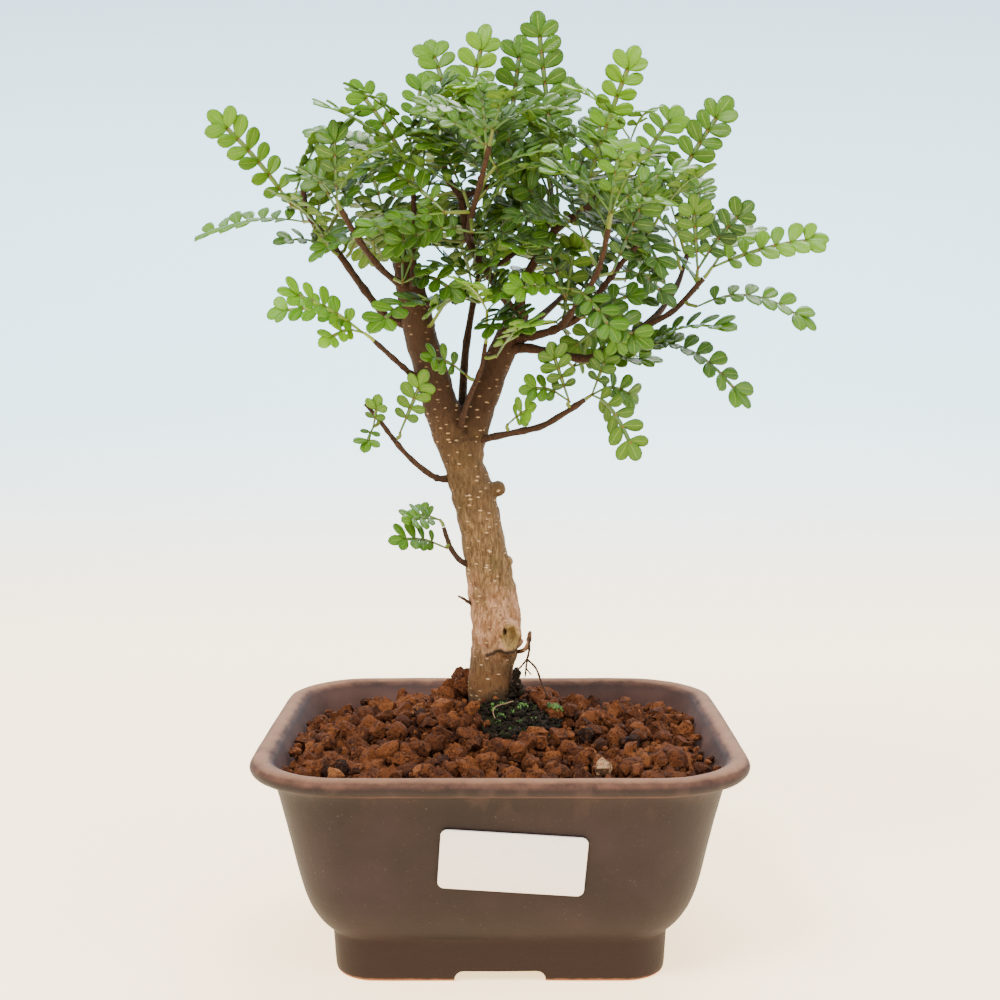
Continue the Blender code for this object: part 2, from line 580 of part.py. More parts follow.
class Frond:
    def __init__(self, base, tip, lift, face):
        self.base = Vector(base)
        self.tip = Vector(tip)
        self.face = Vector(face).normalized()
        self.middle = (self.base + self.tip) / 2 + Vector((0, 0, 2 * lift))
        self.length = (self.tip - self.base).length
        self.size = min(1.0, 0.5 + self.length / 70)

    def at(self, s):
        """Point on the rib, and its directions along, across and out of the blade's face."""
        point = (1 - s) ** 2 * self.base + 2 * s * (1 - s) * self.middle + s * s * self.tip
        along = ((1 - s) * (self.middle - self.base) + s * (self.tip - self.middle)).normalized()
        across = along.cross(self.face).normalized()
        return point, along, across, across.cross(along)

    def sheet_point(self, s, side, forward, rise=0.0):
        point, along, across, out = self.at(s)
        return point + across * side + along * forward + out * rise, out

    def clear_strip(self, start):
        """A plain strip that holds the whole blade, for keeping clear of it."""
        stations = [start + (1 - start) * k / 7 for k in range(8)]
        points, normals, triangles = [], [], []
        for s in stations:
            wide = LEAFLET_LENGTH * self.size * min(1.0, 0.25 + 2.6 * s, 0.55 + 3.4 * (1 - s))
            for side in (-wide, 0, wide):
                point, out = self.sheet_point(s, side, 0, abs(side) * 0.1)
                points.append(point)
                normals.append(out)
        for k in range(7):
            for a in (3 * k, 3 * k + 1):
                triangles += [(a, a + 1, a + 4), (a, a + 4, a + 3)]
        return thicken(points, normals, triangles, 2 * CLEAR_HALF)


def frond_blade(frond):
    """One thin arched blade, cut to its winged rib between the leaflets."""
    pairs = max(2, round(0.8 * frond.length / PAIR_SPACING))
    length, half = LEAFLET_LENGTH * frond.size, LEAFLET_HALF * frond.size
    end = 1 - 0.85 * length / frond.length
    first = min(0.3, 6.0 / frond.length)
    base_half = 0.8 / frond.length
    points, normals, triangles = [], [], []

    def add(s, side, forward, rise=0.0):
        point, out = frond.sheet_point(s, side, forward, rise)
        points.append(point)
        normals.append(out)
        return len(points) - 1

    stations = [0.0]
    for k in range(pairs):
        middle = first + (end - first) * (k + 0.1) / pairs
        stations += [middle - base_half, middle + base_half]
    stations.append(end)
    edges = [(add(s, -RIB_HALF, 0), add(s, RIB_HALF, 0)) for s in stations]
    for low, high in zip(edges, edges[1:]):
        triangles += [(low[0], low[1], high[1]), (low[0], high[1], high[0])]
    for k in range(pairs):
        low, high = edges[2 * k + 1], edges[2 * k + 2]
        s = (stations[2 * k + 1] + stations[2 * k + 2]) / 2
        for side, a, b in ((-1, low[0], high[0]), (1, low[1], high[1])):
            reach = length * math.cos(LEAFLET_LEAN)
            lean = length * math.sin(LEAFLET_LEAN)
            inner = add(s, side * reach * 0.84, lean * 0.72 - half, reach * 0.06)
            outer = add(s, side * reach * 0.92, lean * 1.0 + half * 0.8, reach * 0.08)
            fan = [(a, b, outer), (a, outer, inner)]
            triangles += [tuple(reversed(t)) for t in fan] if side > 0 else fan
    left, right = edges[-1]
    a = add(end, -half * 0.95, length * 0.5)
    tip = add(end, 0, length)
    b = add(end, half * 0.95, length * 0.5)
    triangles += [(left, right, b), (left, b, tip), (left, tip, a)]
    return thicken(points, normals, triangles, BLADE_THICKNESS)


class Spray:
    """A green stem that starts just off its limb, with its fronds."""

    def __init__(self, carrier, stem_end):
        samples = limb_samples(carrier)
        end = Vector(stem_end)
        nearest = min(range(len(samples)), key=lambda k: (samples[k][0] - end).length)
        distance = (samples[nearest][0] - end).length
        point, along, radius = samples[nearest]
        beyond = nearest == len(samples) - 1 and (end - point).dot(along) > 0.6 * distance
        if beyond:
            out = along
            start = point + out * GAP
        else:
            point, along, radius = samples[max(nearest - int(0.35 * distance), 2)]
            out = end - point
            out = (out - along * out.dot(along)).normalized()
            start = point + out * (radius + GAP)
        self.route = [start, start + out * 1.2, end]
        self.fronds = []

    def along(self, share):
        return self.route[1].lerp(self.route[2], share)

    def solid(self):
        return tube(self.route, [STEM_RADIUS, STEM_RADIUS, STEM_RADIUS * 0.85], STEM_SIDES)

    def guard(self):
        return tube(self.route[1:], [STEM_RADIUS + 0.5] * 2, 4)


def limb_samples(name):
    """Points about 1 mm apart along a limb, each with its direction and radius."""
    samples = []
    route = limb_points(name)
    for low, high in zip(route, route[1:]):
        a, b = Vector(low[:3]), Vector(high[:3])
        count = max(1, round((b - a).length))
        for k in range(count):
            share = k / count
            radius = low[3] + (high[3] - low[3]) * share
            samples.append((a.lerp(b, share), (b - a).normalized(), radius))
    samples.append((b, (b - a).normalized(), high[3]))
    return samples


class Room:
    """What is already in place, as one set of faces that new solids are tested against."""

    def __init__(self):
        self.points = []
        self.faces = []
        self.owners = []
        self.tree = None

    def add(self, solid, owner=None):
        start = len(self.points)
        self.points += [Vector(p) for p in solid[0]]
        self.faces += [tuple(start + v for v in face) for face in solid[1]]
        self.owners += [owner] * len(solid[1])
        self.tree = None

    def touches(self, solid, owner=0):
        """Whether the solid meets anything in place that isn't the owner's own."""
        if not self.points:
            return False
        if self.tree is None:
            self.tree = BVHTree.FromPolygons(self.points, self.faces)
        new = BVHTree.FromPolygons([Vector(p) for p in solid[0]], solid[1])
        return any(self.owners[old] != owner for old, _ in self.tree.overlap(new))


def wood_room():
    room = Room()
    for points in (TRUNK, LEFT_FORK, RIGHT_FORK):
        room.add(limb_solid(points, TRUNK_SIDES, TRUNK_CLEAR))
    for name in LIMBS:
        room.add(limb_solid(limb_points(name), BRANCH_SIDES, LIMB_CLEAR))
    return room


def place_frond(spray, room, siblings, share, tip, lift, face, swings):
    """Adds a frond, its tip swung back or forward until it is clear of all others."""
    for swing in swings:
        frond = Frond(spray.along(share), Vector(tip) + Vector((0, swing, 0)), lift, face)
        outer = frond.clear_strip(SIBLING_START)
        if not room.touches(frond.clear_strip(CLEAR_START), spray) and not siblings.touches(outer):
            siblings.add(outer)
            spray.fronds.append(frond)
            return


def shown_sprays(room):
    sprays = {name: Spray(carrier, stem_end) for name, (carrier, stem_end, fronds) in SPRAYS.items()}
    for spray in sprays.values():
        room.add(spray.guard(), spray)
    for name, spray in sprays.items():
        siblings = Room()
        for share, tip, lift, face in SPRAYS[name][2]:
            place_frond(spray, room, siblings, share, tip, lift, face, TIP_SWINGS)
        for frond in spray.fronds:
            room.add(frond.clear_strip(CLEAR_START), spray)
    return sprays


def in_masses(point):
    for middle, half in MASSES:
        if sum(((point[k] - middle[k]) / half[k]) ** 2 for k in range(3)) < 1:
            return True
    return False


def filler_sprays(room, chance):
    """Sprays of two or three fronds that fill the leafy masses from the nearest limbs."""
    carriers = {name: limb_samples(name) for name in CARRIERS}
    sprays = {}
    for attempt in range(FILLER_TRIES):
        if len(sprays) == FILLER_SPRAYS:
            break
        middle, half = MASSES[attempt % len(MASSES)]
        way = Vector([chance.uniform(-1, 1) for _ in range(3)])
        if way.y < 0 or not 0.3 < way.length < 1:
            continue
        target = Vector([middle[k] + way[k] * half[k] for k in range(3)])
        carrier = min(carriers, key=lambda name: min((s[0] - target).length for s in carriers[name]))
        nearest = min((s[0] for s in carriers[carrier]), key=lambda p: (p - target).length)
        reach = target - nearest
        if not FILLER_REACH[0] < reach.length < FILLER_REACH[1]:
            continue
        spray = Spray(carrier, nearest + reach.normalized() * chance.uniform(*FILLER_STEM))
        if room.touches(spray.guard()):
            continue
        siblings = Room()
        for turn in FILLER_TURNS:
            if len(spray.fronds) == 2 + len(sprays) % 2:
                break
            axis = (target - Vector(CROWN_MIDDLE)).normalized()
            turned = Matrix.Rotation(math.radians(turn + chance.uniform(-14, 14)), 3, axis)
            heading = turned @ reach.normalized()
            tip = spray.along(1) + heading * chance.uniform(*FILLER_FROND)
            lift = chance.uniform(1, 4)
            face = axis * 0.7 + Vector((chance.uniform(-0.4, 0.4), chance.uniform(-0.5, 0.2), 1.0))
            if in_masses(tip):
                place_frond(spray, room, siblings, 1, tip, lift, face, (0, 5, -5))
        if len(spray.fronds) < 2:
            continue
        for solid in [spray.guard()] + [frond.clear_strip(CLEAR_START) for frond in spray.fronds]:
            room.add(solid, spray)
        sprays[f"inner_{len(sprays) + 1}"] = spray
    return sprays


def build_sprays():
    room = wood_room()
    chance = random.Random(SEED)
    sprays = shown_sprays(room)
    sprays.update(filler_sprays(room, chance))
    for number, (name, spray) in enumerate(sprays.items()):
        if not spray.fronds:
            continue
        node = add_solid(f"spray_{name}", spray.solid())
        combine(node, [frond_blade(frond) for frond in spray.fronds], "UNION")
        shade = 0.8 + 0.4 * (number % 5) / 4
        leaf = material(f"leaf_{name}", (0.06 * shade, 0.16 * shade, 0.03), 0.4)
        finish(node, leaf)


def main():
    clear_scene()
    build_pot()
    chance = random.Random(SEED)
    build_soil(chance)
    build_peat(chance)
    build_drain_mesh()
    build_label()
    build_wood()
    build_sprays()


main()
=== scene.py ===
import math
import random

import bmesh
import bpy
from mathutils import Matrix, Vector
from mathutils.bvhtree import BVHTree
from mathutils.kdtree import KDTree


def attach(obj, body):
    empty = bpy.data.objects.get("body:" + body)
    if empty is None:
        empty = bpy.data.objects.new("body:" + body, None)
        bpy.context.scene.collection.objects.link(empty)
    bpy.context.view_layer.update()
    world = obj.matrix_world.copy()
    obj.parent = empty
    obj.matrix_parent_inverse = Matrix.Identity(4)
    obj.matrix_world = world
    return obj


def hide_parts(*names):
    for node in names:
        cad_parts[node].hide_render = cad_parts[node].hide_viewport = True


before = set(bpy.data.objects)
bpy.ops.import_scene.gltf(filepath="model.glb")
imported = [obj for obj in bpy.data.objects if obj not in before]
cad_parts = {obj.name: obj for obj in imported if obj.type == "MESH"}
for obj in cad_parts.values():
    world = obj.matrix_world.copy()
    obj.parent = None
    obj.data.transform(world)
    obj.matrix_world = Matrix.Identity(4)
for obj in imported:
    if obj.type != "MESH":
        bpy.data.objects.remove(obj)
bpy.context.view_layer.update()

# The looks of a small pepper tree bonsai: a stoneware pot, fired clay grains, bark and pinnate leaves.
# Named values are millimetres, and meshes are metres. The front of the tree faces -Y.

MM = 0.001
SEED = 11

# The gap that is left where one piece is set against another
GAP = 0.3

# Relief on the surfaces, as the size and depth of its lumps
POT_LUMPS = (14.0, 0.35)
BED_LUMPS = (5.0, 1.6)
PEAT_LUMPS = (3.0, 1.4)
LIMB_LUMPS = (2.0, 0.25)
BARK_LUMPS = ((9.0, 0.9), (2.2, 0.4))

# Pot: it is square on plan with POT_DEPTH_LESS taken off its half depth, and its corners' radius grows from
# the foot to the rim. Its profiles are half widths with their heights
POT_HEIGHT = 68.0
POT_HALF_WIDTH = 74.0
POT_DEPTH_LESS = 6.5
FOOT_BAND_TOP = 13.9
FOOT_HALF_WIDTH = 50.0
RIM_CORNER = 29.0
FOOT_CORNER = 13.0
LEAST_CORNER = 6.0
CORNER_STEPS = 9
UNDERSIDE = 3.8
WALL_LOW = (60.0, 30.0)
WALL_HIGH = (65.3, 54.0)
FOOT_PROFILE = [
    (FOOT_HALF_WIDTH - 9.0, UNDERSIDE), (FOOT_HALF_WIDTH - 8.4, 0.2), (FOOT_HALF_WIDTH - 7.9, 0.0),
    (FOOT_HALF_WIDTH - 1.4, 0.0), (FOOT_HALF_WIDTH - 0.4, 0.25), (FOOT_HALF_WIDTH, 1.0),
    (FOOT_HALF_WIDTH + 0.5, FOOT_BAND_TOP - 2.0), (FOOT_HALF_WIDTH + 0.8, FOOT_BAND_TOP - 0.5),
    (FOOT_HALF_WIDTH + 1.8, FOOT_BAND_TOP + 0.2),
]
WALL_PROFILE = [(54.6, 17.0), (57.3, 21.6), (58.9, 26.0), WALL_LOW, (62.6, 42.0), WALL_HIGH]
LIP_INSIDE = (67.0, 66.0)
LIP_PROFILE = [
    (67.0, 60.6), (69.0, 62.2), (72.0, 62.6), (73.6, 63.9), (POT_HALF_WIDTH, 65.8), (73.1, 67.4),
    (71.1, POT_HEIGHT), (68.7, 67.6), LIP_INSIDE,
]
INNER_FLOOR = 10.0
INSIDE_WALL = [(44.6, INNER_FLOOR), (50.0, 16.0), (55.2, 30.0), (60.2, 50.0), (64.0, 60.5)]
ABOVE_RIM = (70.0, 80.0)

# The gaps between the pot's feet, and its drain hole with its cutter's middle height and length
FOOT_GAP_HEIGHT = 3.4
FOOT_GAP_HALF = (13.5, 11.0)
FOOT_GAP_CORNER = 2.6
DRAIN_RADIUS = 8.0
DRAIN_CUT = (7.0, 20.0)

# Soil: the mound round the trunk, the dip at the rear wall as its depth, its start and its length, and
# how far under the mound's surface the bed lies. BED_EDGE is the height at which the bed's rough top meets
# the wall, and how far it keeps from it there
SOIL_LEVEL = 62.5
MOUND_HEIGHT = 12.0
MOUND_SPREAD = 24.0
REAR_DIP = (3.0, 18.0, 22.0)
TRUNK_FOOT = (-3.0, 12.0)
FOOT_RADIUS = 7.4
FOOT_BOTTOM = 40.0
BED_TOP_RING = (62.6, 57.0)
BED_CELLS = (46, 42)
BED_DEPTH = 2.8
BED_THICKNESS = 6.0
BED_CLEAR = 0.7
BED_EDGE = (60.0, 1.2)

# The rings that a flat sheet is lifted in, to lie as the mound does
MOUND_STEP = 4.0
MOUND_RINGS = 26

# Grains: how many kinds of stone and of crumb, how far apart and how large they are, how high each layer
# of stones lies on the mound with the share of its places that hold one, how much a stone rises or sinks
# and is stretched, how large it is next to the wall as a share, the stones' middle tone and its spread, how
# much crumbs rise or sink, and how far they keep from the trunk and the wall
STONE_KINDS = 6
CRUMB_KINDS = 4
GRAIN_REACH = 72.0
GRAIN_PITCH = 5.6
GRAIN_SIZE = (5.2, 7.9)
GRAIN_LAYERS = ((-2.2, 1.0), (1.0, 0.36))
GRAIN_RISE = (-0.5, 0.9)
GRAIN_STRETCH = (0.85, 1.15)
SIZE_AT_WALL = 0.55
GRAIN_TONE = (0.47, 0.17)
CRUMB_PITCH = 3.7
CRUMB_SIZE = (1.3, 3.0)
CRUMB_RISE = (-1.6, 1.2)
CRUMB_CLEAR = 1.2

# Grains that stand out, as place, size and tone: a clump behind the trunk, a pale one, a tan one and two
# dark ones in front, and three on the right of the trunk
EXTRA_GRAINS = [
    (-13.2, 14.5, 76.0, 7.6, 0.45), (-9.8, 19.0, 78.4, 6.8, 0.4), (-16.0, 17.5, 75.2, 6.4, 0.5),
    (-13.5, 19.5, 78.6, 6.6, 0.42), (-18.0, 13.5, 73.6, 6.6, 0.5), (-13.0, 21.0, 76.0, 5.8, 0.35),
    (29.5, -46.0, 65.5, 6.0, 0.99), (-48.0, -47.5, 64.0, 4.8, 0.9), (-50.5, -44.0, 64.3, 4.6, 0.05),
    (-46.5, -41.0, 64.5, 5.0, 0.03), (12.5, 8.5, 73.5, 6.4, 0.45), (14.5, 2.5, 72.5, 5.4, 0.5),
    (17.5, -2.0, 70.5, 6.0, 0.55),
]

# Peat: its patch, how far apart and how large its crumbs are, and the dark debris that is heaped against
# the trunk's foot: its lowest point, its reach across and in depth, its height, and how many crumbs of
# what size. The patch is inset in rings, and lies a little under the mound's surface
PEAT_CENTRE = (6.0, -7.0)
PEAT_RADIUS = 13.0
PEAT_PITCH = 1.25
PEAT_CRUMB = (0.8, 2.3)
PEAT_RINGS = (8, 1.3)
PEAT_DEPTH = 0.6
PEAT_THICKNESS = 3.0
DEBRIS = (5.4, 7.4, 74.6)
DEBRIS_REACH = (1.9, 2.4)
DEBRIS_TALL = 8.6
DEBRIS_COUNT = 60
DEBRIS_SIZE = (1.3, 2.5)

# Moss: each tuft's middle, how widely its shoots stand, how many they are and how far it is lifted, and
# then how tall a shoot can be
MOSS_TUFTS = [
    (18.0, -1.5, 1.0, 60, 3.6), (16.6, -0.5, 0.7, 24, 3.0), (7.4, 1.6, 0.8, 26, 0.4),
    (6.2, -1.0, 0.5, 10, 0.3), (2.2, 1.0, 0.5, 12, 0.3), (0.4, 0.6, 0.6, 14, 0.3),
    (-3.0, -0.6, 0.4, 9, 0.3), (-2.0, -3.5, 0.4, 7, 0.2), (0.6, -7.0, 0.5, 14, 0.3),
    (-0.6, -10.5, 0.4, 10, 0.3), (6.6, -9.5, 0.5, 8, 0.2), (4.0, -4.0, 0.6, 8, 0.2),
    (10.5, -6.0, 0.5, 5, 0.2), (12.0, -12.0, 0.5, 4, 0.2), (3.0, -15.0, 0.4, 6, 0.2),
    (8.5, -16.0, 0.4, 4, 0.2),
]
SHOOT_TALL = (0.5, 1.15)

# The rootlet on the peat, as places with their height over the mound, and its radius at both ends
ROOTLET = [
    (5.8, 2.4, 0.9), (3.8, 1.2, 1.2), (1.6, -0.6, 1.0), (0.2, -2.6, 1.6), (-1.6, -4.6, 1.7),
    (-2.2, -6.6, 1.0), (-1.5, -8.6, 0.2),
]
ROOTLET_RADIUS = (0.22, 0.13)

# Label: its middle is given as its place across and its height
LABEL_SIZE = (42.0, 19.0)
LABEL_THICKNESS = 0.6
LABEL_MIDDLE = (3.6, 41.2)
LABEL_TURN = math.radians(-4.0)
LABEL_CORNER = 2.0
LABEL_EDGE = 0.12

# Room that is kept between leaves: the full leaflet that a frond's clear strip is as wide as to each side,
# the stem's radius, the sides of the wood's room, half the strip's height, and how far along its rib the
# strip begins, for all others and for the fronds of its own stem. Then how many parts a strip has, how far
# it keeps from the wood and from stems, and the steps by which a tip swings until it is clear
LEAFLET_LENGTH = 8.2
STEM_RADIUS = 0.7
TRUNK_SIDES = 12
BRANCH_SIDES = 5
CLEAR_HALF = 0.75
CLEAR_START = 0.02
SIBLING_START = 0.32
STRIP_PARTS = 7
TRUNK_CLEAR = 0.9
LIMB_CLEAR = 0.7
STEM_CLEAR = 0.5
TIP_SWINGS = [side * step for step in range(0, 25, 3) for side in (1, -1)]

# True leaflets: length, spacing of their pairs, bare foot of the rib and its width between the joints.
# RIB_SHARE is how much of a frond's full width its rib and the feet of its leaflets take. Leaves younger
# than YOUNG are smaller by a share, and the bare foot of the rib is narrower by another
LEAFLET_TRUE = 7.3
PAIR_TRUE = 4.8
PETIOLE = 5.5
RIB_WIDTH = 1.1
RIB_SHARE = 0.22
LINK_OVERLAP = 1.04
LINK_THICKNESS = 0.5
PETIOLE_SHARE = 0.62
YOUNG = 0.6
YOUNG_SHARE = 0.92

# How a leaflet leans forward on its rib in degrees, at the foot, more towards the tip and more in the last
# pair, and how far it strays from that; how it rises at the sides and at the tip, rolls, and varies in size
LEAFLET_LEAN = (20, 12, 4)
LEAN_STRAY = 7
SIDE_RISE = (2, 20)
TIP_RISE = (-6, 8)
ROLL_STRAY = 16
LENGTH_STRAY = (0.92, 1.07)
WIDTH_STRAY = (0.92, 1.08)

# Sprays that fill the leafy masses, the first kind at the rear and the second all through the crown: how
# many and from how many tries at most, the crown's middle, how far out in its mass a target lies and how
# far to the front at most, how far it is from its limb, the stem's length, the fronds' turns in degrees and
# how far they stray from them, the fronds' length and lift, how their face looks outward, aside and up, how
# a tip may swing, and the strip that a frond keeps clear: where it begins and its share of the full width
REAR_FILLING = {
    "name": "inner", "count": 10, "tries": 9000, "middle": (0, 5, 205), "depth": (0.3, 1.0),
    "foremost": 0.0, "reach": (8, 60), "stem": (5, 12), "turns": (0, 62, -62, 105, -105), "stray": 14,
    "frond": (23, 36), "lift": (1, 4), "outward": 0.7, "aside": ((-0.4, 0.4), (-0.5, 0.2)), "upward": 1.0,
    "swings": (0, 5, -5), "strip": (CLEAR_START, 1.0),
}
CROWN_FILLING = {
    "name": "crown", "count": 64, "tries": 6000, "middle": (0, 5, 195), "depth": (0.0, 0.95),
    "foremost": -1.0, "reach": (10, 45), "stem": (4, 10), "turns": (0, 70, -70, 130), "stray": 16,
    "frond": (20, 32), "lift": (1, 5), "outward": 0.6, "aside": ((-0.5, 0.5), (-1.0, 0.2)), "upward": 0.7,
    "swings": (0,), "strip": (0.05, RIB_SHARE),
}

# A leaflet's outline: place along it, half width and how far it curves down, each as a share of its
# length, as are the depth of its fold, how far its tip stands out and its thickness
LEAF_CELLS = (6, 4)
LEAF_OUTLINE = [
    (0.0, 0.04, 0.0), (0.13, 0.14, -0.012), (0.33, 0.25, -0.02), (0.56, 0.315, -0.012), (0.77, 0.295, 0.01),
    (0.92, 0.19, 0.035), (0.985, 0.08, 0.05),
]
LEAF_FOLD = 0.045
LEAF_POINT = 0.015
LEAF_THICKNESS = 0.05

# A rib link's outline as half widths, and how deep it is folded, with its full width as 1
LINK_OUTLINE = (0.2, 0.36, 0.48, 0.5, 0.2)
LINK_FOLD = 0.25

# How young the shown sprays' leaves are, from dark and old at 0 to pale and fresh at 1
YOUTH = {
    "left_tip": 0.5, "left_edge": 0.35, "left_inner": 0.2, "left_bright": 0.9, "left_crown": 0.62,
    "top_left": 0.4, "centre_tip": 0.95, "top": 0.38, "top_back": 0.34, "right_top": 0.62,
    "right_bright": 0.8, "right_fan": 0.4, "right_tall": 0.3, "right_dark": 0.08, "right_tip": 0.5,
    "right_droop": 0.2, "right_low": 0.16, "low_tip": 0.28, "low_front": 0.3, "low_small": 0.4,
    "left_low": 0.15, "left_stub": 0.25, "trunk_low": 0.3, "trunk_top": 0.35, "front_bright": 0.75,
    "front_arch": 0.3, "front_right": 0.35, "front_dark": 0.12,
}

# Wood: each limb is its route's points and its radius at both ends
TRUNK = [
    (-3.0, 12.0, FOOT_BOTTOM, FOOT_RADIUS), (-3.0, 12.0, 79.0, FOOT_RADIUS), (-1.6, 12.0, 90.0, 7.9),
    (-1.2, 12.0, 99.0, 8.2), (-2.7, 12.0, 109.0, 7.8), (-4.4, 11.0, 119.0, 7.3), (-6.5, 10.0, 131.0, 6.8),
    (-8.8, 10.0, 141.0, 7.1), (-11.5, 10.0, 149.0, 6.5), (-12.4, 10.0, 156.0, 7.1), (-12.8, 10.0, 160.5, 5.2),
]
LEFT_FORK = [
    (-13.5, 10.0, 153.0, 5.6), (-17.0, 9.6, 163.0, 6.0), (-20.0, 9.0, 172.5, 5.7), (-24.5, 8.0, 188.0, 5.2),
    (-26.2, 8.0, 196.0, 5.1), (-28.9, 8.0, 208.0, 4.4), (-30.6, 8.0, 214.5, 3.0), (-30.4, 8.0, 221.0, 1.1),
]
RIGHT_FORK = [
    (-12.0, 11.0, 153.0, 5.6), (-8.6, 11.5, 163.0, 5.6), (-5.0, 12.0, 172.5, 4.9), (0.5, 12.0, 186.0, 4.4),
    (4.0, 12.0, 194.0, 4.1), (6.6, 11.0, 199.5, 3.2),
]
LIMBS = {
    "right_low": (1.2, 0.9, [
        (-9, 9.5, 157), (-3, 7, 159), (7.6, 2, 161.4), (13.5, -1, 163.1), (20.9, -4, 167.6),
        (26.3, -6, 171.4)]),
    "left_low": (1.1, 0.75, [
        (-14, 10, 146), (-19.5, 8, 145.6), (-24, 4.5, 148.5), (-29.4, 2, 153.5), (-34, 0, 159.3),
        (-37.8, -2, 164.7), (-42, -4, 170.1)]),
    "left_mid": (1.1, 0.8, [
        (-22, 8, 178), (-27.5, 3.5, 179), (-30.4, 0, 181.5), (-34.5, -3, 185.3), (-38.9, -6, 189.5)]),
    "left_long": (1.4, 0.9, [
        (-26, 8, 193), (-33, 9, 196), (-37.6, 10, 198.8), (-44.6, 10, 207.8), (-50.8, 10, 216.6),
        (-55.8, 10, 223), (-60.8, 10, 229.4), (-62.6, 10, 237.9)]),
    "left_twig": (1.1, 0.8, [
        (-29, 7, 204), (-27.3, 2.5, 210), (-26.8, 1, 224), (-27, 0, 236)]),
    "left_back": (1.3, 0.8, [
        (-27, 9, 197), (-31, 21, 205), (-35, 36, 215), (-39, 50, 231)]),
    "left_front": (1.1, 0.8, [
        (-29, 7, 206), (-36, -6, 211), (-42, -19, 219), (-46, -32, 227)]),
    "centre_left": (1.5, 0.85, [
        (5.5, 11, 196), (2, 6, 202.5), (-5, 2, 212.6), (-9, 0, 219.2), (-11.2, 0, 227.8),
        (-12.4, 0, 234.5), (-15.8, 0, 239.1), (-18.5, 0, 246.4), (-22.2, 0, 253.7)]),
    "centre_twig": (0.85, 0.7, [
        (-12.3, 0, 234), (-6.5, 1, 236.4), (-2, 4, 238.5)]),
    "centre_cross": (0.85, 0.7, [
        (-4.6, 2.2, 212), (1, 3, 214.5), (7.2, 2, 219)]),
    "centre_front": (1.0, 0.75, [
        (-9.6, 0, 221), (-9, -13, 226), (-6, -28, 234), (-3, -40, 244)]),
    "centre_right": (1.6, 0.9, [
        (5.8, 11, 196), (7.5, 8, 207.7), (12.3, 6, 216.9), (18.5, 4, 225.7), (26.3, 0, 230),
        (34.2, -2, 238.9), (39.2, -4, 247.6)]),
    "centre_back": (1.2, 0.8, [
        (12.8, 6, 217.5), (15, 18, 226), (17, 32, 237), (17, 44, 248)]),
    "middle_back": (1.5, 0.8, [
        (-12.5, 12, 162), (-12, 21, 178), (-11, 26, 190), (-8, 34, 208), (-4, 44, 226), (0, 50, 240)]),
    "right_back": (1.4, 0.8, [
        (2, 13, 189), (11, 25, 196), (22, 38, 206), (34, 49, 219)]),
    "right_mid": (1.5, 0.85, [
        (3.4, 12, 190), (8.8, 8, 191), (16.9, 2, 193.1), (25.8, -2, 197.9), (32, -6, 206.3),
        (38, -6, 214), (45.5, -6, 222)]),
    "right_front": (1.0, 0.75, [
        (19.5, 0.5, 194.5), (24, -12, 201), (29, -26, 210), (31, -38, 221)]),
    "right_long": (1.5, 0.85, [
        (2.4, 12, 187), (8.6, 7, 187.5), (15.8, 4, 186.2), (26.6, 0, 184), (32, -2, 186.2),
        (40.9, -4, 191.4), (46.8, -6, 195), (53.9, -8, 199.2), (62.2, -10, 208.5)]),
    "right_far": (1.1, 0.75, [
        (41, -4, 191.5), (50, 8, 198), (58, 22, 208), (63, 33, 220)]),
    "fork_front": (1.0, 0.7, [
        (-13, 9, 160), (-12, 2.5, 165), (-9.4, 0, 172.8), (-5.9, -2, 181), (-4.6, -3, 188.5)]),
    "trunk_shoot": (1.0, 0.7, [
        (-7.5, 10, 116.5), (-12.6, 8, 118.8), (-15.6, 8, 122.5), (-17.0, 8, 126), (-18.2, 8, 129.8)]),
    "dead_spur": (0.9, 0.6, [
        (-5, 11, 104.5), (-10.8, 9, 105.2), (-13.6, 8, 107.2)]),
    "dead_stub": (1.1, 0.9, [
        (1, 11, 88.5), (6.6, 7.5, 88.8), (8.8, 6, 90.2), (9.4, 5.6, 95.5)]),
    "dry_twig": (0.7, 0.6, [
        (9.2, 5.8, 93), (9.9, 4.2, 87), (12.8, 1.5, 82), (16, -1.5, 77.5)]),
}
KNOBS = [
    ((-0.6, 8.5, 142.3), 2.7), ((2.4, 9.4, 118.6), 1.8), ((1.8, 4.9, 97.5), 3.3), ((2.6, 5.0, 90.8), 3.0),
]

# The old pruning scar on the front of the trunk: its callus ring's middle and two radii, the bowl and slit
# in it as middle and reach, the ridge under it, the crevice below the ridge as it is seen from the front,
# and the heights and the depth between which the bark can lie in the crevice
SCAR = (3.2, 4.9, 95.8)
SCAR_RING = (2.9, 1.1)
SCAR_BOWL = ((3.4, 2.6, 95.0), (2.5, 2.8, 3.4))
SCAR_SLIT = ((1.5, 3.6, 96.9), (0.75, 2.6, 1.9))
SCAR_RIDGE = [(-8.0, 8.4, 88.8), (-5.4, 6.0, 88.6), (-2.8, 4.7, 89.4), (-0.2, 4.1, 91.2), (2.4, 4.4, 90.4),
              (5.3, 6.4, 91.4), (6.9, 9.3, 92.6)]
CREVICE = [(-4.1, 88.6), (-2.4, 89.4), (-0.8, 90.2), (0.6, 90.1), (1.9, 89.8), (3.4, 89.9), (4.8, 90.3),
           (5.8, 90.8)]
CREVICE_ZONE = (82.0, 98.0, 14.0)
VOXEL = 0.45

# The radius at which bark is wholly like the trunk's, and how trunk like the limbs' bark is
FULL_GIRTH = 7.0
THIN_GIRTH = 0.18
LIMB_GIRTH = {"middle_back": 0.26, "centre_left": 0.24, "centre_right": 0.24}

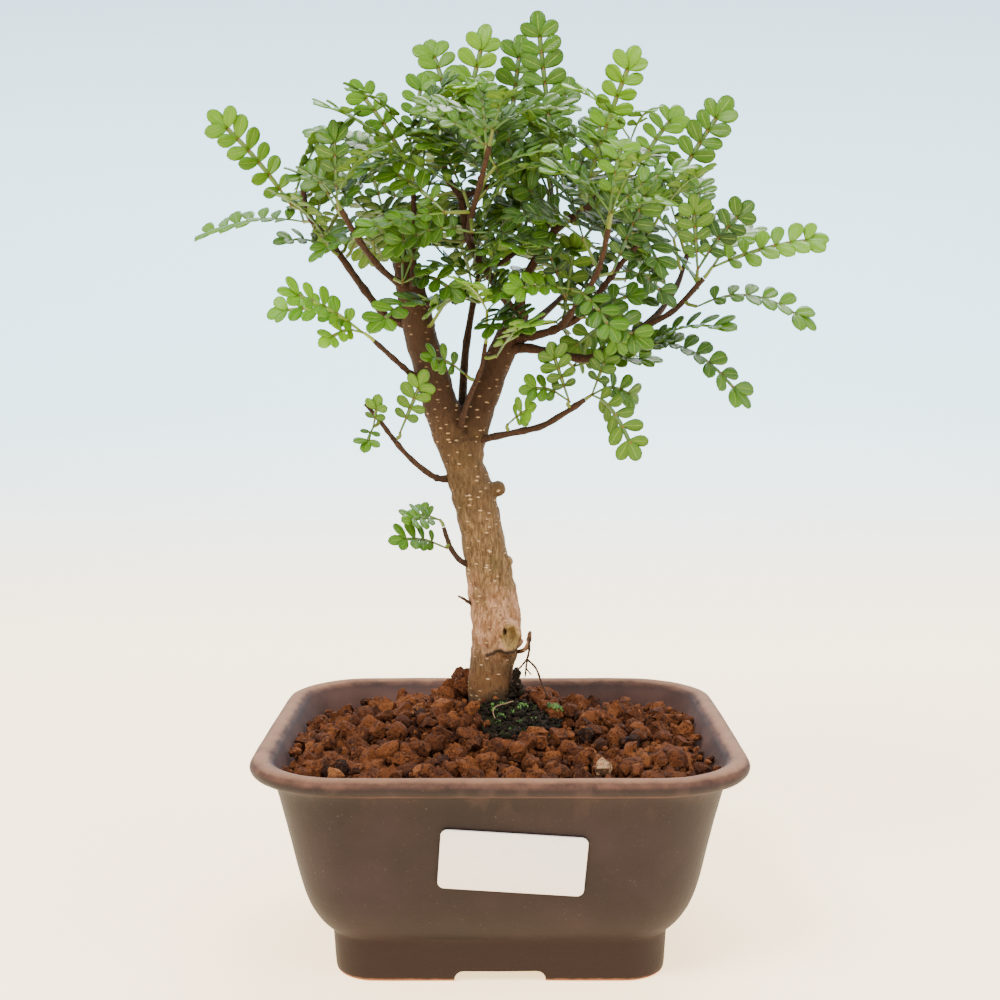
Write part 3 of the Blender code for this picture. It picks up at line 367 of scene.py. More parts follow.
# Dead wood in place of these limbs: each route, the radius at both ends, and how trunk like its bark is
THIN_LIMBS = ("dry_twig", "dead_spur", "dead_stub")
DRY_WOOD = [
    ([(4.4, 9.4, 88.6), (7.4, 7.0, 89.6), (8.8, 6.1, 91.2), (9.4, 5.7, 93.4)], (0.85, 0.62), 0.7),
    ([(9.3, 5.8, 93.0), (9.5, 5.7, 94.2), (9.6, 5.6, 95.4), (9.9, 5.5, 96.2)], (0.95, 0.5), 0.33),
    ([(9.6, 5.3, 94.4), (9.4, 4.9, 89.8), (8.7, 4.6, 87.1)], (0.42, 0.36), 0.08),
    ([(8.7, 4.6, 87.3), (11.6, 3.2, 84.6), (13.4, 1.8, 80.1), (15.3, 0.2, 75.9)], (0.36, 0.3), 0.08),
    ([(8.7, 4.6, 87.3), (7.4, 5.2, 85.4), (5.9, 5.8, 83.6)], (0.34, 0.3), 0.08),
    ([(8.8, 4.5, 87.0), (8.4, 4.4, 84.2), (8.2, 4.3, 81.6)], (0.34, 0.26), 0.08),
    ([(8.4, 4.4, 84.4), (9.2, 4.2, 83.4), (10.2, 4.0, 82.2)], (0.28, 0.22), 0.08),
    ([(-6.0, 11.0, 104.4), (-9.6, 9.6, 104.8), (-11.8, 8.6, 106.4), (-13.6, 8.0, 107.4)], (0.8, 0.35), 0.3),
]

# Leafy sprays that the front view shows, then those at the ends of the front and back limbs: carrier, end
# of the green stem, and for each frond how far along the stem it starts, its tip, how high its rib arches
# and which way its upper face looks
CAMERA = (0.0, -1.0, 0.35)
UP = (0.0, -0.5, 0.85)
FRONT_UP = (0.0, -0.8, 0.6)
UNDER = (0.1, 0.9, 0.45)
SPRAYS = {
    "left_tip": ("left_long", (-65.5, 4, 232), [
        (1, (-88.3, -6, 258.5), 2, CAMERA), (1, (-52, -14, 252), 3, UP)]),
    "left_edge": ("left_long", (-63, 14, 228), [
        (1, (-101, 28, 222.8), 3.5, UP), (1, (-72, 40, 238), 4, UP)]),
    "left_inner": ("left_long", (-53, 6, 218), [
        (1, (-70, -2, 219), 3, UP), (1, (-66, -22, 232), 4, UP)]),
    "left_bright": ("left_mid", (-42, -7, 192), [
        (1, (-65.2, -22, 204.3), 2, FRONT_UP), (1, (-72, -4, 197), 5, FRONT_UP),
        (1, (-54.5, -26, 187), 3, CAMERA)]),
    "left_crown": ("left_twig", (-27.8, 0, 251), [
        (0.3, (-45, -2, 267.7), 2, CAMERA), (0.3, (-53, -16, 257), 4, UP), (0.2, (-62, 8, 255), 4, UP),
        (1, (-44, -24, 262), 4, UP), (1, (-23.8, 2, 273), 0, CAMERA)]),
    "top_left": ("centre_left", (-13.5, 1, 249), [
        (1, (-22.4, 6, 283.2), 4, CAMERA), (1, (-4.3, 4, 286.4), 0, CAMERA)]),
    "centre_tip": ("centre_left", (-18, -5, 256), [
        (1, (-8, -28, 262), 4, UP)]),
    "top": ("centre_right", (18, 4, 236), [
        (1, (11.4, 2, 290.5), 0, CAMERA), (1, (14, 22, 264), 3, CAMERA)]),
    "top_back": ("centre_twig", (1.5, 7, 243), [
        (1, (6.9, 14, 286.2), 0, CAMERA), (1, (-12, 26, 270), 4, CAMERA)]),
    "right_top": ("centre_right", (28, 2, 240), [
        (1, (41.3, -4, 277.5), 2, CAMERA), (1, (34, 24, 262), 4, UP)]),
    "right_bright": ("centre_right", (40, -5, 251), [
        (1, (19.4, -22, 262.7), 4, UP), (1, (45, -30, 256), 3, UP)]),
    "right_fan": ("centre_right", (41.5, -4, 240), [
        (1, (56.8, -9, 262), 2, CAMERA), (1, (52, 22, 250), 3, UP)]),
    "right_tall": ("right_mid", (48.5, -6, 227), [
        (1, (69.9, -2, 262.4), 2, CAMERA), (1, (60, -32, 238), 3, UP)]),
    "right_dark": ("right_long", (60, -13, 211), [
        (1, (57.5, -19, 233), 0, CAMERA), (1, (75.7, -16, 230), 2, CAMERA)]),
    "right_tip": ("right_long", (65, -9, 212), [
        (1, (101.5, -4, 221), 2, FRONT_UP), (1, (84, 18, 224), 4, UP)]),
    "right_droop": ("right_long", (60, -12, 200), [
        (1, (96.9, -14, 192), 7, UP)]),
    "right_low": ("right_long", (45, -4, 188), [
        (1, (78.3, -10, 166.6), 8, UP), (1, (69.5, -24, 192), 4, UP)]),
    "low_tip": ("right_low", (28.5, -7.5, 173), [
        (1, (42.5, -20, 150.7), 5, UNDER), (1, (34, 2, 188), 0, CAMERA), (1, (45, 6, 169), 4, CAMERA)]),
    "low_front": ("right_low", (21.5, -7, 171), [
        (1, (15, -13, 189), 0, CAMERA), (1, (6, -16, 173), 3, CAMERA)]),
    "low_small": ("right_low", (2.5, 2, 163.5), [
        (1, (11, -12, 169), 1, CAMERA)]),
    "left_low": ("left_low", (-31.5, -1.5, 161), [
        (1, (-23, -9, 180), 0, CAMERA)]),
    "left_stub": ("left_low", (-39.5, -5.5, 163), [
        (1, (-41.5, -15, 155), 1, CAMERA), (1, (-37.5, -11, 172.5), 0, CAMERA)]),
    "trunk_low": ("trunk_shoot", (-17.2, 5.5, 123.5), [
        (1, (-34.5, -6, 126.8), 2, FRONT_UP)]),
    "trunk_top": ("trunk_shoot", (-19.6, 8.5, 132.4), [
        (1, (-31, 19, 132.5), 1, FRONT_UP), (1, (-30.5, -3, 133), 1, FRONT_UP)]),
    "front_bright": ("fork_front", (-4, -6.5, 199), [
        (1, (-11, -33, 206), 2, UP), (1, (8, -31, 205), 2, UP)]),
    "front_arch": ("left_fork", (-18, -3, 200), [
        (1, (-38.5, -30, 190), 6, UP)]),
    "front_right": ("fork_front", (-1, -6, 185), [
        (1, (12, -34, 193), 4, UP)]),
    "front_dark": ("fork_front", (-10.5, -3.5, 179), [
        (1, (-23.5, -16, 184), 2, CAMERA), (1, (1, -18, 177), 2, CAMERA)]),
    "front_left": ("left_front", (-47, -36, 230), [
        (1, (-58, -52, 232), 4, UP), (1, (-32, -58, 240), 4, UP)]),
    "front_centre": ("centre_front", (-2, -44, 248), [
        (1, (4, -60, 254), 4, UP), (1, (-24, -56, 250), 4, UP), (1, (22, -54, 250), 4, UP)]),
    "front_middle": ("right_front", (31.5, -42, 225), [
        (1, (40, -60, 238), 4, UP), (1, (54, -46, 236), 4, UP), (1, (12, -58, 234), 4, UP)]),
    "back_left": ("left_back", (-40.5, 53, 235), [
        (1, (-50, 60, 262), 2, UP), (1, (-68, 50, 246), 4, UP), (1, (-20, 58, 252), 4, UP)]),
    "back_centre": ("middle_back", (1.5, 53, 245), [
        (1, (-8, 60, 270), 2, UP), (1, (-26, 58, 262), 3, UP)]),
    "back_top": ("centre_back", (17.5, 47, 253), [
        (1, (24, 58, 280), 2, UP), (1, (42, 52, 268), 3, UP)]),
    "back_right": ("right_back", (37, 52, 223), [
        (1, (58, 60, 238), 3, UP), (1, (30, 60, 246), 2, UP), (1, (52, 56, 212), 5, UP)]),
    "back_far": ("right_far", (66, 36, 224), [
        (1, (80, 48, 232), 3, UP), (1, (88, 30, 222), 4, UP), (1, (70, 56, 246), 3, UP)]),
}

# The leafy masses that the remaining sprays fill, as ellipsoids: middle and half sizes
MASSES = [
    ((-46, 2, 240), (24, 44, 19)), ((-40, 8, 215), (26, 46, 17)), ((-8, 4, 252), (28, 46, 22)),
    ((0, 6, 226), (30, 52, 24)), ((30, 4, 234), (28, 46, 24)), ((54, 2, 216), (26, 42, 21)),
    ((38, 4, 194), (26, 36, 15)), ((2, 6, 198), (34, 40, 14)), ((24, 2, 178), (15, 22, 12)),
]
CARRIERS = ["left_long", "left_mid", "left_back", "left_front", "centre_left", "centre_front", "centre_right",
            "centre_back", "middle_back", "right_back", "right_mid", "right_front", "right_long", "right_far",
            "right_low", "centre_cross"]

# Camera in metres, with its tilt in degrees and its lens in millimetres
CAMERA_PLACE = (0.0, -0.456, 0.183)
CAMERA_TILT = 84.55
CAMERA_LENS = 51.984

# Lights: place and size in metres, power in watts, colour
LIGHTS = [
    ("key_light", (-0.9, -1.1, 1.7), 0.9, 64.0, (1.0, 0.97, 0.93)),
    ("fill_light", (1.5, -0.9, 1.0), 1.3, 25.0, (0.93, 0.96, 1.0)),
    ("back_light", (0.3, 1.1, 1.6), 1.2, 34.0, (1.0, 0.98, 0.96)),
]

# Light on the object: where the lamps aim, in metres, and the room's own even light
LIGHT_AIM = (0.0, 0.0, 0.15)
ROOM_LIGHT = (0.97, 0.98, 1.0)

# Floor in metres: its size, where its rear edge begins, how that edge is drawn out and how widely it curves
FLOOR_SIZE = 5.0
FLOOR_REAR = 2.4
FLOOR_RISE = (0.0, 0.6, 3.2)
FLOOR_CURVE = 1.4

# Texture Coordinate's outputs for the way that the surface looks and for the place on the object, and a
# stretch that leaves a pattern as it is
FACING = 1
PLACE = 3
EVEN = (1.0, 1.0, 1.0)


# Materials

class Wire:
    """A node's output, on which Python's operators build Math nodes."""

    def __init__(self, finish, socket):
        self.finish = finish
        self.socket = socket

    def __add__(self, other):
        return self.finish.math("ADD", self, other)

    def __radd__(self, other):
        return self.finish.math("ADD", other, self)

    def __sub__(self, other):
        return self.finish.math("SUBTRACT", self, other)

    def __rsub__(self, other):
        return self.finish.math("SUBTRACT", other, self)

    def __mul__(self, other):
        return self.finish.math("MULTIPLY", self, other)

    def __rmul__(self, other):
        return self.finish.math("MULTIPLY", other, self)

    def __gt__(self, other):
        return self.finish.math("GREATER_THAN", self, other)


class Finish:
    """A material round one Principled shader, whose constants are set on the shader's own sockets."""

    def __init__(self, name, **constants):
        self.material = bpy.data.materials.new(name)
        self.material.use_nodes = True
        self.tree = self.material.node_tree
        self.shader = self.tree.nodes["Principled BSDF"]
        for key, value in constants.items():
            self.shader.inputs[key.replace("_", " ")].default_value = value

    def node(self, kind, settings=None, values=None, output=0):
        """Any node: its type, its settings, then the values or links of its sockets."""
        made = self.tree.nodes.new(kind)
        for key, value in (settings or {}).items():
            if key == "stops":
                self.set_stops(made.color_ramp.elements, value)
            else:
                setattr(made, key, value)
        sockets = {s.identifier: s for s in made.inputs}
        for key, value in (values or {}).items():
            socket = made.inputs[key] if isinstance(key, int) else sockets[key]
            self.feed(socket, value)
        return Wire(self, made.outputs[output])

    def feed(self, socket, value):
        if isinstance(value, Wire):
            self.tree.links.new(value.socket, socket)
        elif isinstance(value, tuple) and len(socket.default_value) == 4:
            socket.default_value = (*value, 1.0)
        else:
            socket.default_value = value

    def set_stops(self, elements, stops):
        while len(elements) < len(stops):
            elements.new(1.0)
        for element, (place, colour) in zip(elements, stops):
            element.position = place
            element.color = (*colour, 1.0)

    def math(self, operation, a, b=0.0):
        return self.node("ShaderNodeMath", {"operation": operation}, {0: a, 1: b})

    def mix(self, share, a, b):
        values = {"Factor_Float": share, "A_Color": a, "B_Color": b}
        return self.node("ShaderNodeMix", {"data_type": "RGBA"}, values, 2)

    def coats(self, body, *layers):
        """A colour under further colours, each laid over those before it by its own share."""
        for share, colour in layers:
            body = self.mix(share, body, colour)
        return body

    def between(self, value, low, high):
        """0 below low, 1 above high, and a soft step between them."""
        values = {"Value": value, "From Min": low, "From Max": high}
        return self.node("ShaderNodeMapRange", {"interpolation_type": "SMOOTHSTEP"}, values)

    def ramp(self, share, *stops):
        return self.node("ShaderNodeValToRGB", {"stops": stops}, {0: share})

    def spot(self, output=PLACE):
        return self.node("ShaderNodeTexCoord", output=output)

    def where(self, axis):
        """How far along one of the object's axes the surface lies, in metres."""
        return self.node("ShaderNodeSeparateXYZ", {}, {0: self.spot()}, "XYZ".index(axis))

    def above(self, low, high, uneven=None):
        """0 under a height in millimetres and 1 over the next, with an edge that uneven moves, in metres."""
        level = self.where("Z") if uneven is None else self.where("Z") + uneven
        return self.between(level, low * MM, high * MM)

    def stretched(self, stretch):
        """The place on the object, stretched along the axes."""
        return self.node("ShaderNodeMapping", {}, {"Vector": self.spot(), "Scale": stretch})

    def noise(self, size, detail=3.0, stretch=EVEN, rough=0.55):
        """Noise whose features are about as large as size, in millimetres."""
        values = {"Vector": self.stretched(stretch), "Scale": 1 / (size * MM), "Detail": detail,
                  "Roughness": rough}
        return self.node("ShaderNodeTexNoise", {}, values)

    def cells(self, size, stretch=EVEN, output=0):
        """Cells about as large as size, in millimetres: the distance to their middle, or their colour."""
        values = {"Vector": self.stretched(stretch), "Scale": 1 / (size * MM)}
        return self.node("ShaderNodeTexVoronoi", {"feature": "F1"}, values, output)

    def own(self, name):
        """A value that the piece's own mesh carries."""
        return self.node("ShaderNodeAttribute", {"attribute_name": name}, output=2)

    def unwrapped(self):
        """The piece's own unwrapped directions: along it and across it, each from 0 to 1."""
        spot = self.node("ShaderNodeUVMap")
        return [self.node("ShaderNodeSeparateXYZ", {}, {0: spot}, k) for k in (0, 1)]

    def paint(self, **links):
        for key, value in links.items():
            self.feed(self.shader.inputs[key.replace("_", " ")], value)

    def bump(self, height, depth):
        """Relief as deep as depth, in millimetres, where height goes from 0 to 1."""
        values = {"Height": height, "Distance": depth * MM, "Strength": 1.0}
        self.paint(Normal=self.node("ShaderNodeBump", {}, values))


def stoneware():
    """Dark unglossy clay with a brown bloom, worn red on the lip with a crest that is pale from wear and from
    a painted highlight, and bare under the feet.
    """
    clay = Finish("stoneware", Roughness=0.5, Specular_IOR_Level=0.22)
    cloud = clay.noise(26.0, 4.0)
    speck = clay.noise(0.9, 2.0)
    lip = clay.above(65.9, 67.7, clay.noise(9.0, 4.0) * (1.6 * MM))
    # The lip's top edge: partly worn clay, partly a painted highlight where light from above falls on it
    crest = clay.above(67.4, 68.5, clay.noise(7.0, 4.0) * (1.2 * MM))
    sides = {0: clay.spot(FACING), 1: clay.spot()}
    outward = clay.node("ShaderNodeVectorMath", {"operation": "DOT_PRODUCT"}, sides, 1)
    inner = (1 - clay.between(outward, -0.03, 0.0)) * (1 - lip)
    streak = clay.between(clay.noise(6.0, 4.0, (1.0, 1.0, 0.35)), 0.5, 0.68) * clay.above(50.0, 64.0)
    foot_band = 1 - clay.above(12.8, 14.2)
    bare = 1 - clay.above(0.9, 1.7, clay.noise(3.0) * (0.8 * MM))
    fired = clay.ramp(cloud, (0.3, (0.01, 0.0053, 0.0054)), (0.5, (0.0152, 0.0079, 0.008)),
                      (0.72, (0.0235, 0.0138, 0.0145)))
    worn = clay.ramp(clay.noise(8.0, 7.0, rough=0.7), (0.35, (0.04, 0.018, 0.0135)),
                     (0.7, (0.15, 0.07, 0.045)))
    inside = clay.ramp(cloud, (0.3, (0.055, 0.026, 0.02)), (0.7, (0.135, 0.07, 0.055)))
    body = clay.coats(
        fired,
        (clay.between(speck, 0.66, 0.8) * 0.3, (0.13, 0.09, 0.08)),
        (clay.between(1 - speck, 0.6, 0.74) * 0.5, (0.014, 0.009, 0.008)),
        (lip * 0.85, worn),
        # pale crest: worn clay with a painted highlight
        (crest * 0.6, (0.34, 0.175, 0.095)),
        (inner * 0.7, inside),
        (streak * 0.18, (0.095, 0.05, 0.04)),
        (foot_band * 0.75, (0.0145, 0.005, 0.003)),
        (bare, (0.24, 0.1, 0.05)),
    )
    clay.paint(Base_Color=body, Roughness=0.5 + cloud * 0.22 + bare * 0.25 + inner * 0.3 + lip * 0.15)
    clay.bump(clay.noise(1.1, 3.0) * 0.5 + clay.noise(7.0, 2.0) * 0.5, 0.16)
    return clay.material


def red_grains():
    """Fired porous clay, each grain in a tone of its own, with painted shade in its hollows and pores and
    painted highlights on its lumps.
    """
    clay = Finish("red_grains", Roughness=0.95, Specular_IOR_Level=0.2)
    pores = clay.cells(1.15)
    mottle = clay.noise(1.2, 6.0, rough=0.75)
    craggy = clay.noise(2.6, 4.0, rough=0.7)
    fired = clay.ramp(
        clay.own("tone") + (mottle - 0.5) * 0.5,
        (0.0, (0.013, 0.004, 0.0018)), (0.2, (0.05, 0.0135, 0.0038)), (0.55, (0.122, 0.035, 0.0088)),
        (0.85, (0.2, 0.064, 0.017)), (0.96, (0.3, 0.125, 0.045)), (1.0, (0.42, 0.26, 0.14)),
    )
    clay.paint(Base_Color=clay.coats(
        fired,
        # painted shade in the hollows of the craggy relief and in the pores
        (clay.between(1 - craggy, 0.5, 0.64) * 0.75, (0.016, 0.005, 0.0022)),
        (clay.between(1 - pores, 0.7, 0.9) * 0.8, (0.026, 0.007, 0.0035)),
        # painted highlight on the tops of the fine lumps
        (clay.between(mottle, 0.56, 0.7) * 0.6, (0.36, 0.145, 0.05)),
    ))
    clay.bump(mottle * 0.7 + craggy * 0.8 + clay.between(pores, 0.05, 0.4) * 0.4, 1.2)
    return clay.material


def peat():
    """Wet black peat with green threads and pale specks in it."""
    earth = Finish("peat", Roughness=0.85, Specular_IOR_Level=0.15)
    lump = earth.noise(2.2, 5.0, rough=0.7)
    green = earth.between(earth.noise(4.0, 4.0), 0.56, 0.68)
    chalk = earth.between(1 - earth.cells(2.6), 0.9, 0.95)
    dark_base = earth.ramp(lump, (0.3, (0.003, 0.002, 0.001)), (0.55, (0.012, 0.0075, 0.0035)),
                     (0.75, (0.04, 0.022, 0.01)))
    earth.paint(Base_Color=earth.coats(
        dark_base, (green * 0.4, (0.022, 0.045, 0.006)), (chalk * 0.5, (0.32, 0.27, 0.2))))
    earth.bump(lump, 0.9)
    return earth.material


def moss():
    plant = Finish("moss", Roughness=0.6)
    plant.paint(Base_Color=plant.mix(plant.own("tone"), (0.014, 0.055, 0.004), (0.09, 0.2, 0.02)))
    return plant.material


def root_skin():
    root = Finish("root_skin", Roughness=0.7)
    root.paint(Base_Color=root.mix(root.noise(1.0), (0.13, 0.07, 0.03), (0.34, 0.22, 0.12)))
    return root.material


def bark():
    """Tan, faintly furrowed bark with pale lenticels and painted shade at its foot, low down, on the forks
    and in the scar; twigs are thin and dark red.
    """
    skin = Finish("bark", Roughness=0.8, Specular_IOR_Level=0.3)
    hollow = skin.own("hollow")
    callus = skin.own("callus")
    thick = skin.between(skin.own("girth"), 0.26, 0.5)
    furrow = skin.noise(1.1, 6.0, (1.0, 1.0, 0.3), 0.78)
    crack = skin.between(skin.noise(0.55, 3.0, (1.0, 1.0, 0.22), 0.7), 0.56, 0.68)
    patch = skin.noise(9.0, 3.0, (1.0, 1.0, 0.6))
    fine = skin.noise(0.7, 3.0, (1.0, 1.0, 0.6))
    upper = skin.ramp(furrow, (0.28, (0.03, 0.014, 0.005)), (0.5, (0.125, 0.07, 0.026)),
                      (0.7, (0.31, 0.195, 0.09)))
    lower = skin.ramp(furrow, (0.28, (0.085, 0.03, 0.01)), (0.5, (0.26, 0.125, 0.055)),
                      (0.7, (0.52, 0.31, 0.165)))
    low = (1 - skin.above(118.0, 136.0, patch * 0.04)) * skin.above(90.0, 100.0, patch * 0.012)
    rosy = skin.between(skin.noise(5.0, 3.0, (1.0, 1.0, 0.75)), 0.5, 0.6) * low
    mossy = skin.between(skin.noise(7.0, 4.0), 0.52, 0.66) * (1 - low)
    foot = skin.above(78.5, 80.5, patch * 0.008) * (1 - skin.above(87.0, 92.0, patch * 0.01))
    # Painted shadow round the trunk's foot, reaching higher on its right side
    dark_base = 1 - skin.above(77.5, 81.7, patch * 0.007 - skin.where("X") * 0.3)
    trunk = skin.coats(
        skin.mix(low, upper, lower),
        (rosy * 0.5, (0.56, 0.31, 0.19)),
        (mossy * 0.45, (0.075, 0.055, 0.012)),
        (foot * 0.7, (0.17, 0.07, 0.02)),
        # painted shadow at the trunk's foot
        (dark_base * 0.88, (0.008, 0.005, 0.0025)),
        (skin.above(130.0, 155.0, patch * 0.02) * 0.6, (0.05, 0.025, 0.007)),
        # painted shade on the trunk low down, near the soil
        ((1 - skin.above(90.0, 100.0, patch * 0.01)) * 0.45, (0.07, 0.032, 0.01)),
        # the forks' darker bark, deepened by painted shade under the crown
        (skin.above(158.0, 180.0, patch * 0.02) * 0.9, (0.031, 0.0115, 0.0038)),
        (crack * 0.55, (0.035, 0.014, 0.005)),
    )
    twig = skin.ramp(fine, (0.3, (0.013, 0.006, 0.003)), (0.7, (0.06, 0.024, 0.009)))
    wide_dots = (0.8, 0.8, 2.1)
    colour = skin.cells(2.5, wide_dots, 1)
    chosen = skin.node("ShaderNodeSeparateColor", {}, {0: colour}) > 0.42
    lenticel = (1 - skin.between(skin.cells(2.5, wide_dots), 0.14, 0.27)) * chosen * thick
    lenticel = lenticel * (1 - skin.above(160.0, 180.0) * 0.6) * (1 - dark_base * 0.9) * (1 - callus)
    wound = skin.ramp(furrow, (0.3, (0.09, 0.055, 0.012)), (0.55, (0.24, 0.16, 0.045)),
                      (0.7, (0.42, 0.27, 0.1)))
    skin.paint(Base_Color=skin.coats(
        skin.mix(thick, twig, trunk),
        (lenticel * 0.8, (0.55, 0.38, 0.21)),
        (callus * 0.85, wound),
        # painted shade in the scar's slit and in the crevice under its ridge
        (hollow * 0.92, (0.014, 0.008, 0.004)),
    ))
    skin.bump(furrow * 0.8 + lenticel * 0.4 + fine * 0.2 - crack * 0.5, 0.55)
    return skin.material


def leaf(name, under):
    """A glossy leaflet: youth brightens it, and its veins and edge dots follow the blade."""
    blade = Finish(name, Roughness=0.55 if under else 0.3, Specular_IOR_Level=0.18 if under else 0.29)
    tone = blade.own("tone")
    along, across = blade.unwrapped()
    side = blade.math("ABSOLUTE", across * 2 - 1)
    old = blade.mix(tone, (0.004, 0.023, 0.0009), (0.0165, 0.07, 0.0018))
    young = blade.mix(tone, (0.06, 0.2, 0.002), (0.165, 0.37, 0.004))
    body = blade.mix(blade.own("youth"), old, young)
    if under:
        body = blade.mix(0.4, body, (0.09, 0.17, 0.025))
    vein = blade.math("SINE", (along * 1.3 - side * 0.45) * 44.0) * 0.5 + 0.5
    net = blade.between(blade.noise(0.9, 2.0), 0.5, 0.7)
    rib = 1 - blade.between(side, 0.03, 0.1)
    dots = blade.between(side, 0.8, 0.96) * (blade.math("SINE", along * 50.0) > 0.2)
    blade.paint(Base_Color=blade.coats(
        body,
        (blade.between(vein, 0.86, 1.0) * 0.22 + net * 0.1, (0.21, 0.35, 0.04)),
        (rib * 0.5 * (1 - blade.between(along, 0.75, 0.95)), (0.24, 0.36, 0.06)),
        (dots * 0.3, (0.015, 0.05, 0.008)),
    ))
    blade.bump(net * 0.35 - vein * 0.35 - rib * 0.8, 0.12)
    return blade.material


def rib_green():
    """The winged rib, red at its joints."""
    stalk = Finish("rib_green", Roughness=0.45)
    along, _ = stalk.unwrapped()
    green = stalk.mix(stalk.own("youth"), (0.022, 0.075, 0.006), (0.14, 0.24, 0.015))
    joint = 1 - stalk.between(stalk.math("ABSOLUTE", along * 2 - 1), 0.0, 1.0)
    red = stalk.between(1 - joint, 0.82, 0.97) * 0.7
    stalk.paint(Base_Color=stalk.mix(red, green, (0.22, 0.07, 0.025)))
    return stalk.material


def stem_green():
    """A young shoot, yellow green with brown patches."""
    shoot = Finish("stem_green", Roughness=0.5)
    green = shoot.mix(shoot.own("youth"), (0.06, 0.1, 0.01), (0.2, 0.26, 0.02))
    brown = shoot.between(shoot.noise(3.0, 3.0), 0.55, 0.75) * 0.6
    shoot.paint(Base_Color=shoot.mix(brown, green, (0.11, 0.04, 0.014)))
    return shoot.material


def white_card():
    """Smooth coated card, faintly dusty in patches."""
    card = Finish("white_card", Roughness=0.3, Specular_IOR_Level=0.5)
    mottle = card.noise(5.0, 5.0)
    body = card.mix(card.between(mottle, 0.55, 0.8) * 0.25, (0.86, 0.8, 0.78), (0.66, 0.58, 0.53))
    card.paint(Base_Color=body, Roughness=0.25 + mottle * 0.2)
    card.bump(card.noise(0.5, 2.0), 0.01)
    return card.material


def green_plastic():
    net = Finish("green_plastic", Roughness=0.45)
    grime = net.noise(3.0, 4.0)
    green = net.mix(grime, (0.012, 0.06, 0.03), (0.06, 0.12, 0.05))
    net.paint(Base_Color=green, Roughness=0.35 + grime * 0.3)
    net.bump(grime, 0.05)
    return net.material


# Tools

def deselect():
    if bpy.context.mode != "OBJECT":
        bpy.ops.object.mode_set(mode="OBJECT")
    bpy.ops.object.select_all(action="DESELECT")


def pick(obj):
    deselect()
    obj.select_set(True)
    bpy.context.view_layer.objects.active = obj


def edit(obj, action="DESELECT"):
    """Opens a mesh for editing with nothing of it selected, or all with SELECT."""
    pick(obj)
    bpy.ops.object.mode_set(mode="EDIT")
    bpy.ops.mesh.select_mode(type="VERT")
    bpy.ops.mesh.select_all(action=action)


def close():
    bpy.ops.object.mode_set(mode="OBJECT")


def choose(obj, test):
    """Selects, in edit mode, the points whose place passes the test, and their edges and faces."""
    bpy.ops.mesh.select_all(action="DESELECT")
    shape = bmesh.from_edit_mesh(obj.data)
    for vert in shape.verts:
        if test(vert.co):
            vert.select_set(True)
    shape.select_flush(True)
    bmesh.update_edit_mesh(obj.data)


def choose_numbers(obj, numbers):
    """Selects, in edit mode, the points with these numbers."""
    bpy.ops.mesh.select_all(action="DESELECT")
    shape = bmesh.from_edit_mesh(obj.data)
    shape.verts.index_update()
    for vert in shape.verts:
        if vert.index in numbers:
            vert.select_set(True)
    shape.select_flush(True)
    bmesh.update_edit_mesh(obj.data)


def fix_place():
    """Puts the place, turn and size of what is selected into its mesh."""
    bpy.ops.object.transform_apply(location=True, rotation=True, scale=True)


def join(parts, name):
    """Parts joined into the first of them, their points in the same order."""
    spare = [part.data for part in parts[1:]]
    pick(parts[0])
    for part in parts[1:]:
        part.select_set(True)
    if spare:
        bpy.ops.object.join()
    for mesh in spare:
        bpy.data.meshes.remove(mesh)
    parts[0].name = name
    return parts[0]


def discard(*shapes):
    for shape in shapes:
        bpy.data.objects.remove(shape, do_unlink=True)


def modify(obj, kind, **settings):
    """Adds a modifier and applies it."""
    pick(obj)
    modifier = obj.modifiers.new(kind.lower(), kind)
    for key, value in settings.items():
        setattr(modifier, key, value)
    bpy.ops.object.modifier_apply(modifier=modifier.name)


def roughen(obj, size, depth):
    """Displaces a mesh by lumps about as large as size and as deep as depth, in millimetres."""
    lumps = bpy.data.textures.new("clouds", "CLOUDS")
    lumps.noise_scale = size * MM
    lumps.noise_depth = 2
    modify(obj, "DISPLACE", texture=lumps, strength=depth * MM, mid_level=0.5)


def cut(piece, cutter):
    modify(piece, "BOOLEAN", operation="DIFFERENCE", object=cutter, solver="MANIFOLD")
    discard(cutter)


def smooth(obj, angle=None):
    pick(obj)
    if angle:
        bpy.ops.object.shade_smooth_by_angle(angle=math.radians(angle))
    else:
        bpy.ops.object.shade_smooth()


def give(obj, **values):
    """Sets one value a name on all points of a mesh, for its material to read."""
    for name, value in values.items():
        known = obj.data.attributes.get(name) or obj.data.attributes.new(name, "FLOAT", "POINT")
        known.data.foreach_set("value", [value] * len(obj.data.vertices))


def dress(obj, *materials):
    obj.data.materials.clear()
    for one in materials:
        obj.data.materials.append(one)


def settle(piece, slot, *nodes):
    """Puts a finished piece's place into its mesh and ties it to the pot's body; its slot is not used."""
    pick(piece)
    fix_place()
    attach(piece, "root")
    if nodes:
        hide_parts(*nodes)
    deselect()


def copy_of(master, matrix, **values):
    """A copy of a finished shape with its own mesh, placed by a matrix in millimetres."""
    made = master.copy()
    made.data = master.data.copy()
    scaled = matrix.copy()
    scaled.translation *= MM
    made.data.transform(scaled)
    give(made, **values)
    bpy.context.scene.collection.objects.link(made)
    return made


def add_ball(middle, radius, segments, rings, scale=(1.0, 1.0, 1.0)):
    deselect()
    bpy.ops.mesh.primitive_uv_sphere_add(segments=segments, ring_count=rings, radius=radius * MM,
                                         location=Vector(middle) * MM, scale=scale)
    return bpy.context.object


